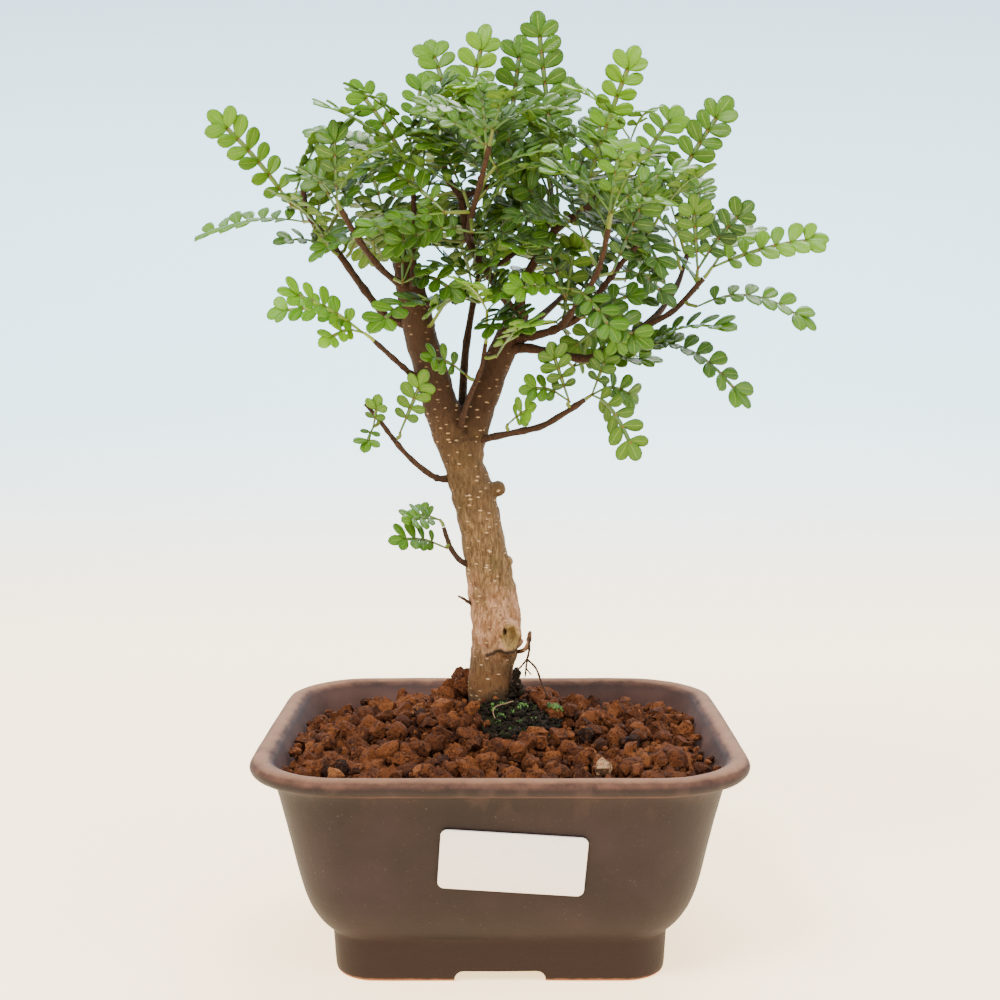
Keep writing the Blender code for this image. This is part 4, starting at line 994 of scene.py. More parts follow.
def add_tube(points, radii, name, rounds=3):
    """A tube along points in millimetres with a radius at each, drawn as a path and made a mesh."""
    deselect()
    bpy.ops.curve.primitive_nurbs_path_add()
    path = bpy.context.object
    path.data.splines.clear()
    spline = path.data.splines.new("POLY")
    spline.points.add(len(points) - 1)
    for knot, point, radius in zip(spline.points, points, radii):
        knot.co = (*(Vector(point) * MM), 1.0)
        knot.radius = radius
    path.data.bevel_depth = MM
    path.data.bevel_resolution = rounds
    path.data.use_fill_caps = True
    bpy.ops.object.convert(target="MESH")
    path = bpy.context.object
    path.name = name
    return path


def flowing(points, steps=3):
    """The same route with a smooth curve through its points. A fourth number, the radius, flows too."""
    points = [Vector(p) for p in points]
    made = []
    for k in range(len(points) - 1):
        a = points[max(k - 1, 0)]
        b = points[k]
        c = points[k + 1]
        d = points[min(k + 2, len(points) - 1)]
        for step in range(steps):
            t = step / steps
            made.append(0.5 * (2 * b + (c - a) * t + (2 * a - 5 * b + 4 * c - d) * t ** 2
                               + (3 * b - a - 3 * c + d) * t ** 3))
    made.append(points[-1])
    return made


def held(value, low=0.0, high=1.0):
    """The value, held between two ends."""
    return min(high, max(low, value))


# Pot

def pot_half_width(z):
    """Outside half width of the wall between its foot and its lip."""
    slope = (WALL_HIGH[0] - WALL_LOW[0]) / (WALL_HIGH[1] - WALL_LOW[1])
    return WALL_LOW[0] + (z - WALL_LOW[1]) * slope


def pot_corner(half_width):
    """The radius of the pot's corners where it is so wide."""
    share = (half_width - FOOT_HALF_WIDTH) / (POT_HALF_WIDTH - FOOT_HALF_WIDTH)
    return FOOT_CORNER + (RIM_CORNER - FOOT_CORNER) * share


def add_ring(half_width, z, clear=0.0):
    """One level of the pot: a plane whose four corners are bevelled round, kept as its edge."""
    corner = max(pot_corner(half_width), LEAST_CORNER)
    half = half_width - clear
    deselect()
    bpy.ops.mesh.primitive_plane_add(size=2 * MM, location=(0, 0, z * MM))
    bpy.ops.object.mode_set(mode="EDIT")
    bpy.ops.transform.resize(value=(half, half - POT_DEPTH_LESS, 1))
    bpy.ops.mesh.bevel(offset=corner * MM, segments=CORNER_STEPS, profile=0.5, affect="VERTICES")
    bpy.ops.mesh.delete(type="ONLY_FACE")
    close()
    fix_place()
    return bpy.context.object


def bridge_rings(levels, name, clear=0.0):
    """A closed wall through rings of the pot, each level bridged to the next, with both ends filled."""
    rings = [add_ring(half, z, clear) for half, z in levels]
    count = len(rings[0].data.vertices)
    piece = rings[0]
    for ring in rings[1:]:
        piece = join([piece, ring], name)
    edit(piece)
    for k in range(len(levels) - 1):
        choose_numbers(piece, range(k * count, (k + 2) * count))
        bpy.ops.mesh.bridge_edge_loops(type="PAIRS")
    for k in (0, len(levels) - 1):
        choose_numbers(piece, range(k * count, (k + 1) * count))
        bpy.ops.mesh.edge_face_add()
    bpy.ops.mesh.select_all(action="SELECT")
    bpy.ops.mesh.normals_make_consistent(inside=False)
    close()
    return piece


def add_gap_block(width, depth):
    """A block with round edges all round, to cut the gap between the feet with."""
    below = 3.0
    size = (width, depth, 2 * (FOOT_GAP_HEIGHT + below))
    deselect()
    bpy.ops.mesh.primitive_cube_add(size=1, location=(0, 0, -below * MM), scale=[s * MM for s in size])
    fix_place()
    block = bpy.context.object
    modify(block, "BEVEL", width=FOOT_GAP_CORNER * MM, segments=4, limit_method="NONE")
    return block


def model_pot():
    pot = bridge_rings(FOOT_PROFILE + WALL_PROFILE + LIP_PROFILE + INSIDE_WALL[::-1], "stoneware_pot")
    modify(pot, "SUBSURF", levels=2, render_levels=2)
    past_pot = 2.2 * POT_HALF_WIDTH
    for width, depth in ((2 * FOOT_GAP_HALF[0], past_pot), (past_pot, 2 * FOOT_GAP_HALF[1])):
        cut(pot, add_gap_block(width, depth))
    deselect()
    bpy.ops.mesh.primitive_cylinder_add(vertices=40, radius=DRAIN_RADIUS * MM, depth=DRAIN_CUT[1] * MM,
                                        location=(0, 0, DRAIN_CUT[0] * MM))
    cut(pot, bpy.context.object)
    roughen(pot, *POT_LUMPS)
    smooth(pot, 35)
    dress(pot, stoneware())
    settle(pot, "stoneware", "pot")


def model_label():
    """A blank card with round corners that leans as the wall behind it does."""
    deselect()
    bpy.ops.mesh.primitive_plane_add(size=1)
    card = bpy.context.object
    card.name = "blank_card"
    edit(card, "SELECT")
    bpy.ops.transform.resize(value=(LABEL_SIZE[0] * MM, LABEL_SIZE[1] * MM, 1))
    bpy.ops.mesh.bevel(offset=LABEL_CORNER * MM, segments=7, profile=0.5, affect="VERTICES")
    close()
    modify(card, "SOLIDIFY", thickness=LABEL_THICKNESS * MM, offset=1.0)
    modify(card, "BEVEL", width=LABEL_EDGE * MM, segments=2, limit_method="ANGLE",
           angle_limit=math.radians(40))
    lean = math.atan2(WALL_HIGH[0] - WALL_LOW[0], WALL_HIGH[1] - WALL_LOW[1])
    front = POT_DEPTH_LESS - pot_half_width(LABEL_MIDDLE[1])
    card.matrix_world = (Matrix.Translation(Vector((LABEL_MIDDLE[0], front, LABEL_MIDDLE[1])) * MM)
                         @ Matrix.Rotation(math.pi / 2 + lean, 4, "X") @ Matrix.Rotation(LABEL_TURN, 4, "Z")
                         @ Matrix.Translation((0, 0, GAP * MM)))
    smooth(card, 30)
    dress(card, white_card())
    settle(card, "white_card", "blank_label")


def finish_drain_mesh():
    look = green_plastic()
    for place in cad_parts["drain_mesh"].material_slots:
        place.material = look


# Soil

def from_trunk(x, y):
    return math.hypot(x - TRUNK_FOOT[0], y - TRUNK_FOOT[1])


def mound(x, y):
    """The height of the soil: a mound round the trunk, lower at the rear wall than at the front."""
    apart = (x - TRUNK_FOOT[0]) ** 2 + (y - TRUNK_FOOT[1]) ** 2
    depth, start, length = REAR_DIP
    dip = depth * held((y - start) / length)
    return SOIL_LEVEL + MOUND_HEIGHT * math.exp(-apart / (2 * MOUND_SPREAD ** 2)) - dip


def heap_up(sheet, below):
    """Lifts a flat sheet, in rings round the trunk, to so many millimetres below the mound's surface."""
    for k in range(2 * MOUND_RINGS):
        low, high = k / 2 * MOUND_STEP, (k + 1) / 2 * MOUND_STEP
        choose(sheet, lambda p: low <= from_trunk(p.x / MM, p.y / MM) < high)
        lift = mound(TRUNK_FOOT[0] + (low + high) / 2, TRUNK_FOOT[1]) - below
        bpy.ops.transform.translate(value=(0, 0, lift * MM))


def inside_pot(x, y, z, clear):
    """Whether a point at that height lies inside the pot's wall by at least the clearance."""
    levels = INSIDE_WALL + [LIP_INSIDE, ABOVE_RIM]
    for (low, a), (high, b) in zip(levels, levels[1:]):
        if a <= z <= b:
            half = low + (high - low) * (z - a) / (b - a)
            break
    else:
        return False
    corner = pot_corner(half)
    dx = max(abs(x) - (half - corner), 0.0)
    dy = max(abs(y) - (half - POT_DEPTH_LESS - corner), 0.0)
    return math.hypot(dx, dy) < corner - clear


def in_peat(x, y, extra=0.0):
    """Whether a place lies in the peat's patch, whose edge waves in and out."""
    angle = math.atan2(y - PEAT_CENTRE[1], x - PEAT_CENTRE[0])
    radius = PEAT_RADIUS * (1 + 0.07 * math.sin(3 * angle) + 0.05 * math.sin(5 * angle + 1)) + extra
    return math.hypot(x - PEAT_CENTRE[0], y - PEAT_CENTRE[1]) < radius


def add_stone(name, chance, finer):
    """One porous angular stone, about 1 mm across, to copy: a ball with flat sides, dents and bumps."""
    flats, dents = (5, 14) if finer else (2, 4)
    flat_from = 0.3
    dent_reach = 0.2
    deselect()
    bpy.ops.mesh.primitive_ico_sphere_add(subdivisions=2 if finer else 1, radius=0.5 * MM)
    stone = bpy.context.object
    stone.name = name
    edit(stone, "SELECT")
    bpy.ops.transform.resize(value=[chance.uniform(0.8, 1.2) for _ in range(3)])
    for _ in range(flats):
        way = Vector([chance.uniform(-1, 1) for _ in range(3)]).normalized()
        choose(stone, lambda p: p.dot(way) > flat_from * MM)
        bpy.ops.transform.resize(value=(1.12, 1.12, 1.12))
        for _ in range(2):
            flatter = [1 - 0.75 * abs(w) ** 2 for w in way]
            bpy.ops.transform.resize(value=flatter, center_override=way * flat_from * MM)
    for _ in range(dents):
        spot = Vector([chance.gauss(0, 1) for _ in range(3)]).normalized() * 0.5 * MM
        choose(stone, lambda p: (p - spot).length < dent_reach * MM)
        bpy.ops.transform.translate(value=spot * chance.choice((-0.26, -0.16, 0.14, 0.24)))
    close()
    smooth(stone, 42)
    return stone


def any_turn(chance):
    turns = [Matrix.Rotation(chance.uniform(0, 2 * math.pi), 4, axis) for axis in "XYZ"]
    return turns[0] @ turns[1] @ turns[2]


def at_spot(spot, turn, size):
    return Matrix.Translation(spot) @ turn @ Matrix.Scale(size, 4)


def scatter(reach, pitch, chance):
    """Places of a loose lattice over a square of that reach, its rows set in as on a honeycomb."""
    row_step = 0.87
    stray = 0.3
    rows = int(reach / (pitch * row_step)) + 1
    for j in range(-rows, rows + 1):
        for i in range(-rows, rows + 1):
            x = (i + 0.5 * (j % 2)) * pitch + chance.uniform(-stray, stray) * pitch
            y = j * pitch * row_step + chance.uniform(-stray, stray) * pitch
            yield x, y


def model_soil_bed(earth):
    """The soil's body inside the pot, with its rough top heaped round the trunk."""
    levels = [(INSIDE_WALL[0][0], INNER_FLOOR + 0.8)] + INSIDE_WALL[1:4] + [BED_TOP_RING]
    bed = bridge_rings(levels, "soil_bed", BED_CLEAR)
    deselect()
    bpy.ops.mesh.primitive_grid_add(x_subdivisions=BED_CELLS[0], y_subdivisions=BED_CELLS[1], size=2 * MM,
                                    scale=(POT_HALF_WIDTH, POT_HALF_WIDTH, 1.0))
    fix_place()
    top = bpy.context.object
    edit(top)
    choose(top, lambda p: not inside_pot(p.x / MM, p.y / MM, *BED_EDGE))
    bpy.ops.mesh.delete(type="VERT")
    heap_up(top, BED_DEPTH)
    close()
    modify(top, "SOLIDIFY", thickness=BED_THICKNESS * MM, offset=-1.0)
    roughen(top, *BED_LUMPS)
    bed = join([bed, top], "soil_bed")
    give(bed, tone=0.12)
    dress(bed, earth)
    settle(bed, "red_grains", "soil")


def lay_stones(stones, chance):
    """Two layers of loose stones, the upper one with many gaps."""
    laid = []
    for x, y in scatter(GRAIN_REACH, GRAIN_PITCH, chance):
        size = chance.uniform(*GRAIN_SIZE)
        if not inside_pot(x, y, mound(x, y), 0.5 * size):
            size *= SIZE_AT_WALL
        for layer, share in GRAIN_LAYERS:
            turn = any_turn(chance)
            tone = held(chance.gauss(*GRAIN_TONE), 0.0, 0.93)
            z = mound(x, y) + layer + chance.uniform(*GRAIN_RISE)
            here = chance.random() < share
            near_trunk = from_trunk(x, y) < FOOT_RADIUS + 0.42 * size
            if near_trunk or not here or in_peat(x, y, -0.5) or not inside_pot(x, y, z, 0.5 * size):
                continue
            sizes = [size * chance.uniform(*GRAIN_STRETCH) for _ in range(3)]
            place = Matrix.Translation((x, y, z)) @ turn @ Matrix.Diagonal((*sizes, 1.0))
            laid.append(copy_of(chance.choice(stones), place, tone=tone))
    for x, y, z, size, tone in EXTRA_GRAINS:
        place = at_spot((x, y, z), any_turn(chance), size)
        laid.append(copy_of(chance.choice(stones), place, tone=tone))
    return laid


def lay_crumbs(crumbs, chance):
    """Crumbs between the stones."""
    laid = []
    for x, y in scatter(GRAIN_REACH, CRUMB_PITCH, chance):
        size = chance.uniform(*CRUMB_SIZE)
        z = mound(x, y) + chance.uniform(*CRUMB_RISE)
        turn = any_turn(chance)
        tone = chance.uniform(0.1, 0.8)
        near_trunk = from_trunk(x, y) < FOOT_RADIUS + CRUMB_CLEAR
        if near_trunk or in_peat(x, y, -1.0) or not inside_pot(x, y, z, CRUMB_CLEAR):
            continue
        laid.append(copy_of(chance.choice(crumbs), at_spot((x, y, z), turn, size), tone=tone))
    return laid


def model_soil(chance):
    earth = red_grains()
    model_soil_bed(earth)
    stones = [add_stone(f"stone_{k}", chance, True) for k in range(STONE_KINDS)]
    crumbs = [add_stone(f"crumb_{k}", chance, False) for k in range(CRUMB_KINDS)]
    grains = lay_stones(stones, chance)
    grains += lay_crumbs(crumbs, chance)
    piece = join(grains, "clay_grains")
    dress(piece, earth)
    settle(piece, "red_grains")
    discard(*stones)
    return crumbs


# Peat and moss

def add_peat_patch():
    """A round sheet of peat, heaped up as the mound is and roughened."""
    deselect()
    bpy.ops.mesh.primitive_circle_add(vertices=24, radius=(PEAT_RADIUS - PEAT_DEPTH) * MM, fill_type="NGON",
                                      location=(PEAT_CENTRE[0] * MM, PEAT_CENTRE[1] * MM, 0))
    fix_place()
    patch = bpy.context.object
    edit(patch, "SELECT")
    for _ in range(PEAT_RINGS[0]):
        bpy.ops.mesh.inset(thickness=PEAT_RINGS[1] * MM, depth=0.0)
    heap_up(patch, PEAT_DEPTH)
    close()
    modify(patch, "SOLIDIFY", thickness=PEAT_THICKNESS * MM, offset=-1.0)
    roughen(patch, *PEAT_LUMPS)
    smooth(patch)
    give(patch, tone=0.5)
    return patch


def model_peat(crumbs, chance):
    """Black crumbs on a low patch of peat, and debris heaped against the trunk's foot."""
    heap = [add_peat_patch()]
    for x, y in scatter(PEAT_RADIUS, PEAT_PITCH, chance):
        x, y = x + PEAT_CENTRE[0], y + PEAT_CENTRE[1]
        size = chance.uniform(*PEAT_CRUMB)
        turn = any_turn(chance)
        z = mound(x, y) + chance.uniform(-0.7, 0.5)
        if in_peat(x, y, -0.2) and from_trunk(x, y) > FOOT_RADIUS + 0.3:
            heap.append(copy_of(chance.choice(crumbs), at_spot((x, y, z), turn, size), tone=0.5))
    for k in range(DEBRIS_COUNT):
        up = k / DEBRIS_COUNT
        size = chance.uniform(*DEBRIS_SIZE)
        spread = [chance.uniform(-reach, reach) * (1.15 - up) for reach in DEBRIS_REACH]
        spot = (DEBRIS[0] + spread[0], DEBRIS[1] + spread[1], DEBRIS[2] + DEBRIS_TALL * up)
        place = at_spot(spot, any_turn(chance), size)
        heap.append(copy_of(chance.choice(crumbs), place, tone=0.5))
    piece = join(heap, "peat_heap")
    dress(piece, peat())
    settle(piece, "peat_and_moss", "peat_patch")


def add_shoot():
    """One moss shoot of height 1, widest halfway up, to copy."""
    deselect()
    bpy.ops.mesh.primitive_cone_add(vertices=5, radius1=0.2, radius2=0.1, depth=1.0, location=(0, 0, 0.5))
    shoot = bpy.context.object
    fix_place()
    edit(shoot, "SELECT")
    bpy.ops.mesh.bisect(plane_co=(0, 0, 0.5), plane_no=(0, 0, 1))
    choose(shoot, lambda p: abs(p.z - 0.5) < 0.01)
    bpy.ops.transform.resize(value=(2.6, 1.3, 1.0))
    close()
    smooth(shoot)
    return shoot


def model_moss(chance):
    shoot = add_shoot()
    tufts = []
    for x, y, spread, count, lift in MOSS_TUFTS:
        for _ in range(count):
            sx, sy = chance.gauss(0, spread), chance.gauss(0, spread)
            turn = Matrix.Rotation(chance.uniform(0, 2 * math.pi), 4, "Z")
            tilt = Matrix.Rotation(chance.uniform(0.1, 0.9), 4, "X")
            tall = chance.uniform(*SHOOT_TALL) * MM
            height = mound(x + sx, y + sy) + lift - 0.2 * (abs(sx) + abs(sy))
            place = at_spot((x + sx, y + sy, height), turn @ tilt, tall)
            tufts.append(copy_of(shoot, place, tone=chance.random()))
    discard(shoot)
    piece = join(tufts, "moss_tufts")
    dress(piece, moss())
    settle(piece, "peat_and_moss")


def model_rootlet():
    route = flowing([(x, y, mound(x, y) + lift) for x, y, lift in ROOTLET], 4)
    thick, thin = ROOTLET_RADIUS
    root = add_tube(route, [thick - (thick - thin) * k / len(route) for k in range(len(route))], "rootlet")
    smooth(root)
    dress(root, root_skin())
    settle(root, "bark")


# Wood

def add_limb(name, chance):
    """A limb as a tube that flares where it leaves what bears it, with swollen joints along it."""
    knots = flowing(limb_points(name), 5)
    radii = []
    for j, p in enumerate(knots):
        collar = 1 + 0.6 * math.exp(-j / 2.0)
        joint = 1.18 if j % 4 == 2 else 1.0
        radii.append(p[3] * collar * joint * chance.uniform(0.9, 1.06))
    limb = add_tube([p[:3] for p in knots], radii, "limb", 2)
    roughen(limb, *LIMB_LUMPS)
    give(limb, girth=LIMB_GIRTH.get(name, THIN_GIRTH), hollow=0.0, callus=0.0)
    smooth(limb)
    return limb


def add_twig(route, thick, girth):
    """A thin dry twig along a route, no thicker than the two radii at its ends but for slight waves."""
    knots = flowing(route, 4)
    last = len(knots) - 1
    radii = [thick[0] + (thick[1] - thick[0]) * k / last + 0.06 * math.sin(2.4 * k) for k in range(last + 1)]
    twig = add_tube(knots, radii, "twig", 1)
    give(twig, girth=girth, hollow=0.0, callus=0.0)
    smooth(twig)
    return twig


def add_scar():
    """The callus ring of the old pruning cut and the ridge under it, which thickens from its left end."""
    deselect()
    bpy.ops.mesh.primitive_torus_add(major_segments=32, minor_segments=10, major_radius=SCAR_RING[0] * MM,
                                     minor_radius=SCAR_RING[1] * MM, location=Vector(SCAR) * MM,
                                     rotation=(math.radians(84), 0, math.radians(10)))
    bpy.ops.transform.resize(value=(1.0, 1.0, 1.3))
    ring = bpy.context.object
    ridge = flowing(SCAR_RIDGE, 4)
    last = len(ridge) - 1
    radii = [0.5 + 0.7 * min(1.0, 2.5 * k / last) for k in range(last + 1)]
    return [ring, add_tube(ridge, radii, "ridge", 4)]


def grow_trunk():
    """Trunk, forks, callus and knobs as one skin."""
    parts = add_scar()
    for k, route in enumerate((TRUNK, LEFT_FORK, RIGHT_FORK)):
        knots = flowing(route, 4)
        radii = [p[3] * (1 + 0.03 * math.sin(2.1 * j + k)) for j, p in enumerate(knots)]
        parts.append(add_tube([p[:3] for p in knots], radii, "stem", 8))
    parts += [add_ball(middle, radius, 16, 10) for middle, radius in KNOBS]
    for part in parts:
        pick(part)
        fix_place()
    tree = join(parts, "bark_wood")
    modify(tree, "REMESH", mode="VOXEL", voxel_size=VOXEL * MM, use_smooth_shade=True)
    modify(tree, "SMOOTH", factor=0.5, iterations=3)
    return tree


def cut_scar(tree):
    """Cuts the scar's bowl and slit and the crevice under its ridge, and gives back the crevice's route."""
    for middle, reach in (SCAR_BOWL, SCAR_SLIT):
        cut(tree, add_ball(middle, 1.0, 20, 12, reach))
    crevice = flowing([on_bark(tree, x, z) for x, z in CREVICE], 4)
    last = len(crevice) - 1
    radii = [0.15 + 0.45 * math.sin(math.pi * k / last) for k in range(last + 1)]
    cut(tree, add_tube(crevice, radii, "crevice", 3))
    return crevice


def on_bark(tree, x, z):
    """The point of the bark that is seen from the front at this place across and this height."""
    return tree.ray_cast(Vector((x, -40.0, z)) * MM, Vector((0, 1, 0)))[1] / MM


def away(spot, hole):
    """How far a point lies from a hole's middle, where 1 is the hole's own edge."""
    middle, reach = hole
    return Vector([(spot[k] - middle[k]) / reach[k] for k in range(3)]).length


def mark_bark(tree, crevice):
    """Tells each point of the bark how thick the wood is there, how much painted shade of the scar's hollows
    it takes, and how much callus it is.
    """
    sites = [p for route in (TRUNK, LEFT_FORK, RIGHT_FORK) for p in flowing(route, 8)]
    lookup = KDTree(len(sites))
    for k, site in enumerate(sites):
        lookup.insert(Vector(site[:3]), k)
    lookup.balance()
    marks = {"girth": [], "hollow": [], "callus": []}
    for vert in tree.data.vertices:
        spot = vert.co / MM
        # Painted shade: darkest in the scar's slit and along the crevice below the ridge
        dark = 1.6 - 1.3 * away(spot, SCAR_SLIT)
        if CREVICE_ZONE[0] < spot.z < CREVICE_ZONE[1] and spot.y < CREVICE_ZONE[2]:
            dark = max(dark, 1.7 - 1.9 * min((spot - p).length for p in crevice))
        marks["girth"].append(sites[lookup.find(spot)[1]][3] / FULL_GIRTH)
        marks["hollow"].append(held(dark))
        marks["callus"].append(held(4.4 - 3.0 * away(spot, SCAR_BOWL)))
    for name, values in marks.items():
        give(tree, **{name: 0.0})
        tree.data.attributes[name].data.foreach_set("value", values)


def model_wood(chance):
    """Trunk and forks grown into one skin, with the scar cut in, and the limbs and dead wood joined on."""
    tree = grow_trunk()
    crevice = cut_scar(tree)
    for size, depth in BARK_LUMPS:
        roughen(tree, size, depth)
    mark_bark(tree, crevice)
    limbs = [add_limb(name, chance) for name in LIMBS if name not in THIN_LIMBS]
    limbs += [add_twig(route, thick, girth) for route, thick, girth in DRY_WOOD]
    tree = join([tree] + limbs, "bark_wood")
    dress(tree, bark())
    settle(tree, "bark", "tree_wood")


# Where the sprays grow

def loft(rings):
    """A solid through rings of equally many points, closed at both ends."""
    count = len(rings[0])
    faces = [tuple(range(count))]
    for level in range(len(rings) - 1):
        low, high = level * count, (level + 1) * count
        for k in range(count):
            following = (k + 1) % count
            faces.append((low + k, low + following, high + following, high + k))
    faces.append(tuple(range((len(rings) - 1) * count, len(rings) * count)))
    return [p for ring in rings for p in ring], faces


def tube(route, radii, sides):
    """A round solid along a route, with flat ends square to it."""
    points = [Vector(p) for p in route]
    rings = []
    across = None
    for k, point in enumerate(points):
        before, after = points[max(k - 1, 0)], points[min(k + 1, len(points) - 1)]
        along = (after - before).normalized()
        if across is None:
            across = along.orthogonal().normalized()
        across = (across - along * across.dot(along)).normalized()
        other = along.cross(across)
        ring = []
        for side in range(sides):
            angle = 2 * math.pi * side / sides
            ring.append(point + (across * math.cos(angle) + other * math.sin(angle)) * radii[k])
        rings.append(ring)
    return loft(rings)


def thicken(points, normals, triangles, thickness):
    """A solid plate from a sheet of triangles, split alike on both faces."""
    count = len(points)
    top = [p + n * (thickness / 2) for p, n in zip(points, normals)]
    bottom = [p - n * (thickness / 2) for p, n in zip(points, normals)]
    faces = []
    directed = set()
    for a, b, c in triangles:
        faces.append((a, b, c))
        faces.append((c + count, b + count, a + count))
        directed.update([(a, b), (b, c), (c, a)])
    for a, b in sorted(directed):
        if (b, a) not in directed:
            faces.append((b, a, a + count, b + count))
    return top + bottom, faces


def limb_points(name):
    """The limb's route as points with a radius each."""
    if name == "left_fork":
        return LEFT_FORK
    first, last, route = LIMBS[name]
    share = 1 / (len(route) - 1)
    return [(*p, first + (last - first) * k * share) for k, p in enumerate(route)]


def limb_solid(points, sides, extra):
    return tube([p[:3] for p in points], [p[3] + extra for p in points], sides)


def limb_samples(name):
    """Points about 1 mm apart along a limb, each with its direction and radius."""
    samples = []
    route = limb_points(name)
    for low, high in zip(route, route[1:]):
        a, b = Vector(low[:3]), Vector(high[:3])
        count = max(1, round((b - a).length))
        for k in range(count):
            share = k / count
            radius = low[3] + (high[3] - low[3]) * share
            samples.append((a.lerp(b, share), (b - a).normalized(), radius))
    samples.append((b, (b - a).normalized(), high[3]))
    return samples


class Frond:
    """A pinnate leaf's rib as an arch from base to tip, with the way that its upper face looks."""

    def __init__(self, base, tip, lift, face):
        self.base = Vector(base)
        self.tip = Vector(tip)
        self.face = Vector(face).normalized()
        self.middle = (self.base + self.tip) / 2 + Vector((0, 0, 2 * lift))
        self.length = (self.tip - self.base).length
        self.size = min(1.0, 0.5 + self.length / 70)

    def at(self, s):
        """Point on the rib, and its directions along, across and out of the blade's face."""
        point = (1 - s) ** 2 * self.base + 2 * s * (1 - s) * self.middle + s * s * self.tip
        along = ((1 - s) * (self.middle - self.base) + s * (self.tip - self.middle)).normalized()
        across = along.cross(self.face).normalized()
        return point, along, across, across.cross(along)

    def clear_strip(self, start, share=1.0):
        """A plain strip that holds the blade, or that share of its width, for others to keep clear of."""
        points, normals, triangles = [], [], []
        for k in range(STRIP_PARTS + 1):
            s = start + (1 - start) * k / STRIP_PARTS
            wide = LEAFLET_LENGTH * self.size * min(1.0, 0.25 + 2.6 * s, 0.55 + 3.4 * (1 - s))
            rib, _, across, out = self.at(s)
            for side in (-wide * share, 0, wide * share):
                points.append(rib + across * side + out * (abs(side) * 0.1))
                normals.append(out)
        for k in range(STRIP_PARTS):
            for a in (3 * k, 3 * k + 1):
                triangles += [(a, a + 1, a + 4), (a, a + 4, a + 3)]
        return thicken(points, normals, triangles, 2 * CLEAR_HALF)


class Spray:
    """A green stem that starts just off its limb, with its fronds."""

    def __init__(self, carrier, stem_end):
        samples = limb_samples(carrier)
        end = Vector(stem_end)
        nearest = min(range(len(samples)), key=lambda k: (samples[k][0] - end).length)
        distance = (samples[nearest][0] - end).length
        point, along, radius = samples[nearest]
        beyond = nearest == len(samples) - 1 and (end - point).dot(along) > 0.6 * distance
        if beyond:
            out = along
            start = point + out * GAP
        else:
            point, along, radius = samples[max(nearest - int(0.35 * distance), 2)]
            out = end - point
            out = (out - along * out.dot(along)).normalized()
            start = point + out * (radius + GAP)
        self.route = [start, start + out * 1.2, end]
        self.fronds = []

    def along(self, share):
        return self.route[1].lerp(self.route[2], share)

    def guard(self):
        """The stem's room, but for the foot that stands on its limb."""
        return tube(self.route[1:], [STEM_RADIUS + STEM_CLEAR] * 2, 4)


class Room:
    """What is already in place, as one set of faces that new solids are tested against."""

    def __init__(self):
        self.points = []
        self.faces = []
        self.owners = []
        self.tree = None

    def add(self, solid, owner="tree"):
        start = len(self.points)
        self.points += [Vector(p) for p in solid[0]]
        self.faces += [tuple(start + v for v in face) for face in solid[1]]
        self.owners += [owner] * len(solid[1])
        self.tree = None

    def touches(self, solid, owner="nobody"):
        """Whether the solid meets anything in place that isn't the owner's own."""
        if not self.points:
            return False
        if self.tree is None:
            self.tree = BVHTree.FromPolygons(self.points, self.faces)
        new = BVHTree.FromPolygons([Vector(p) for p in solid[0]], solid[1])
        return any(self.owners[old] != owner for old, _ in self.tree.overlap(new))

    def add_spray(self, spray, share=1.0):
        """Adds a spray's stem and its fronds, at that share of their width."""
        self.add(spray.guard(), spray)
        for frond in spray.fronds:
            self.add(frond.clear_strip(CLEAR_START, share), spray)


def wood_room():
    room = Room()
    for points in (TRUNK, LEFT_FORK, RIGHT_FORK):
        room.add(limb_solid(points, TRUNK_SIDES, TRUNK_CLEAR))
    for name in LIMBS:
        room.add(limb_solid(limb_points(name), BRANCH_SIDES, LIMB_CLEAR))
    return room


def place_frond(spray, room, siblings, frond_facts, swings, strip):
    """Adds a frond, its tip swung until it is clear of all others, and of any siblings that are given."""
    share, tip, lift, face = frond_facts
    for swing in swings:
        frond = Frond(spray.along(share), Vector(tip) + Vector((0, swing, 0)), lift, face)
        if room.touches(frond.clear_strip(*strip), spray):
            continue
        if siblings:
            outer = frond.clear_strip(SIBLING_START)
            if siblings.touches(outer):
                continue
            siblings.add(outer)
        spray.fronds.append(frond)
        return


def shown_sprays(room):
    """The sprays that are listed one by one."""
    sprays = {name: Spray(carrier, stem_end) for name, (carrier, stem_end, _) in SPRAYS.items()}
    for spray in sprays.values():
        room.add(spray.guard(), spray)
    for name, spray in sprays.items():
        siblings = Room()
        for frond_facts in SPRAYS[name][2]:
            place_frond(spray, room, siblings, frond_facts, TIP_SWINGS, (CLEAR_START, 1.0))
        for frond in spray.fronds:
            room.add(frond.clear_strip(CLEAR_START), spray)
    return sprays


def in_masses(point):
    for middle, half in MASSES:
        if sum(((point[k] - middle[k]) / half[k]) ** 2 for k in range(3)) < 1:
            return True
    return False


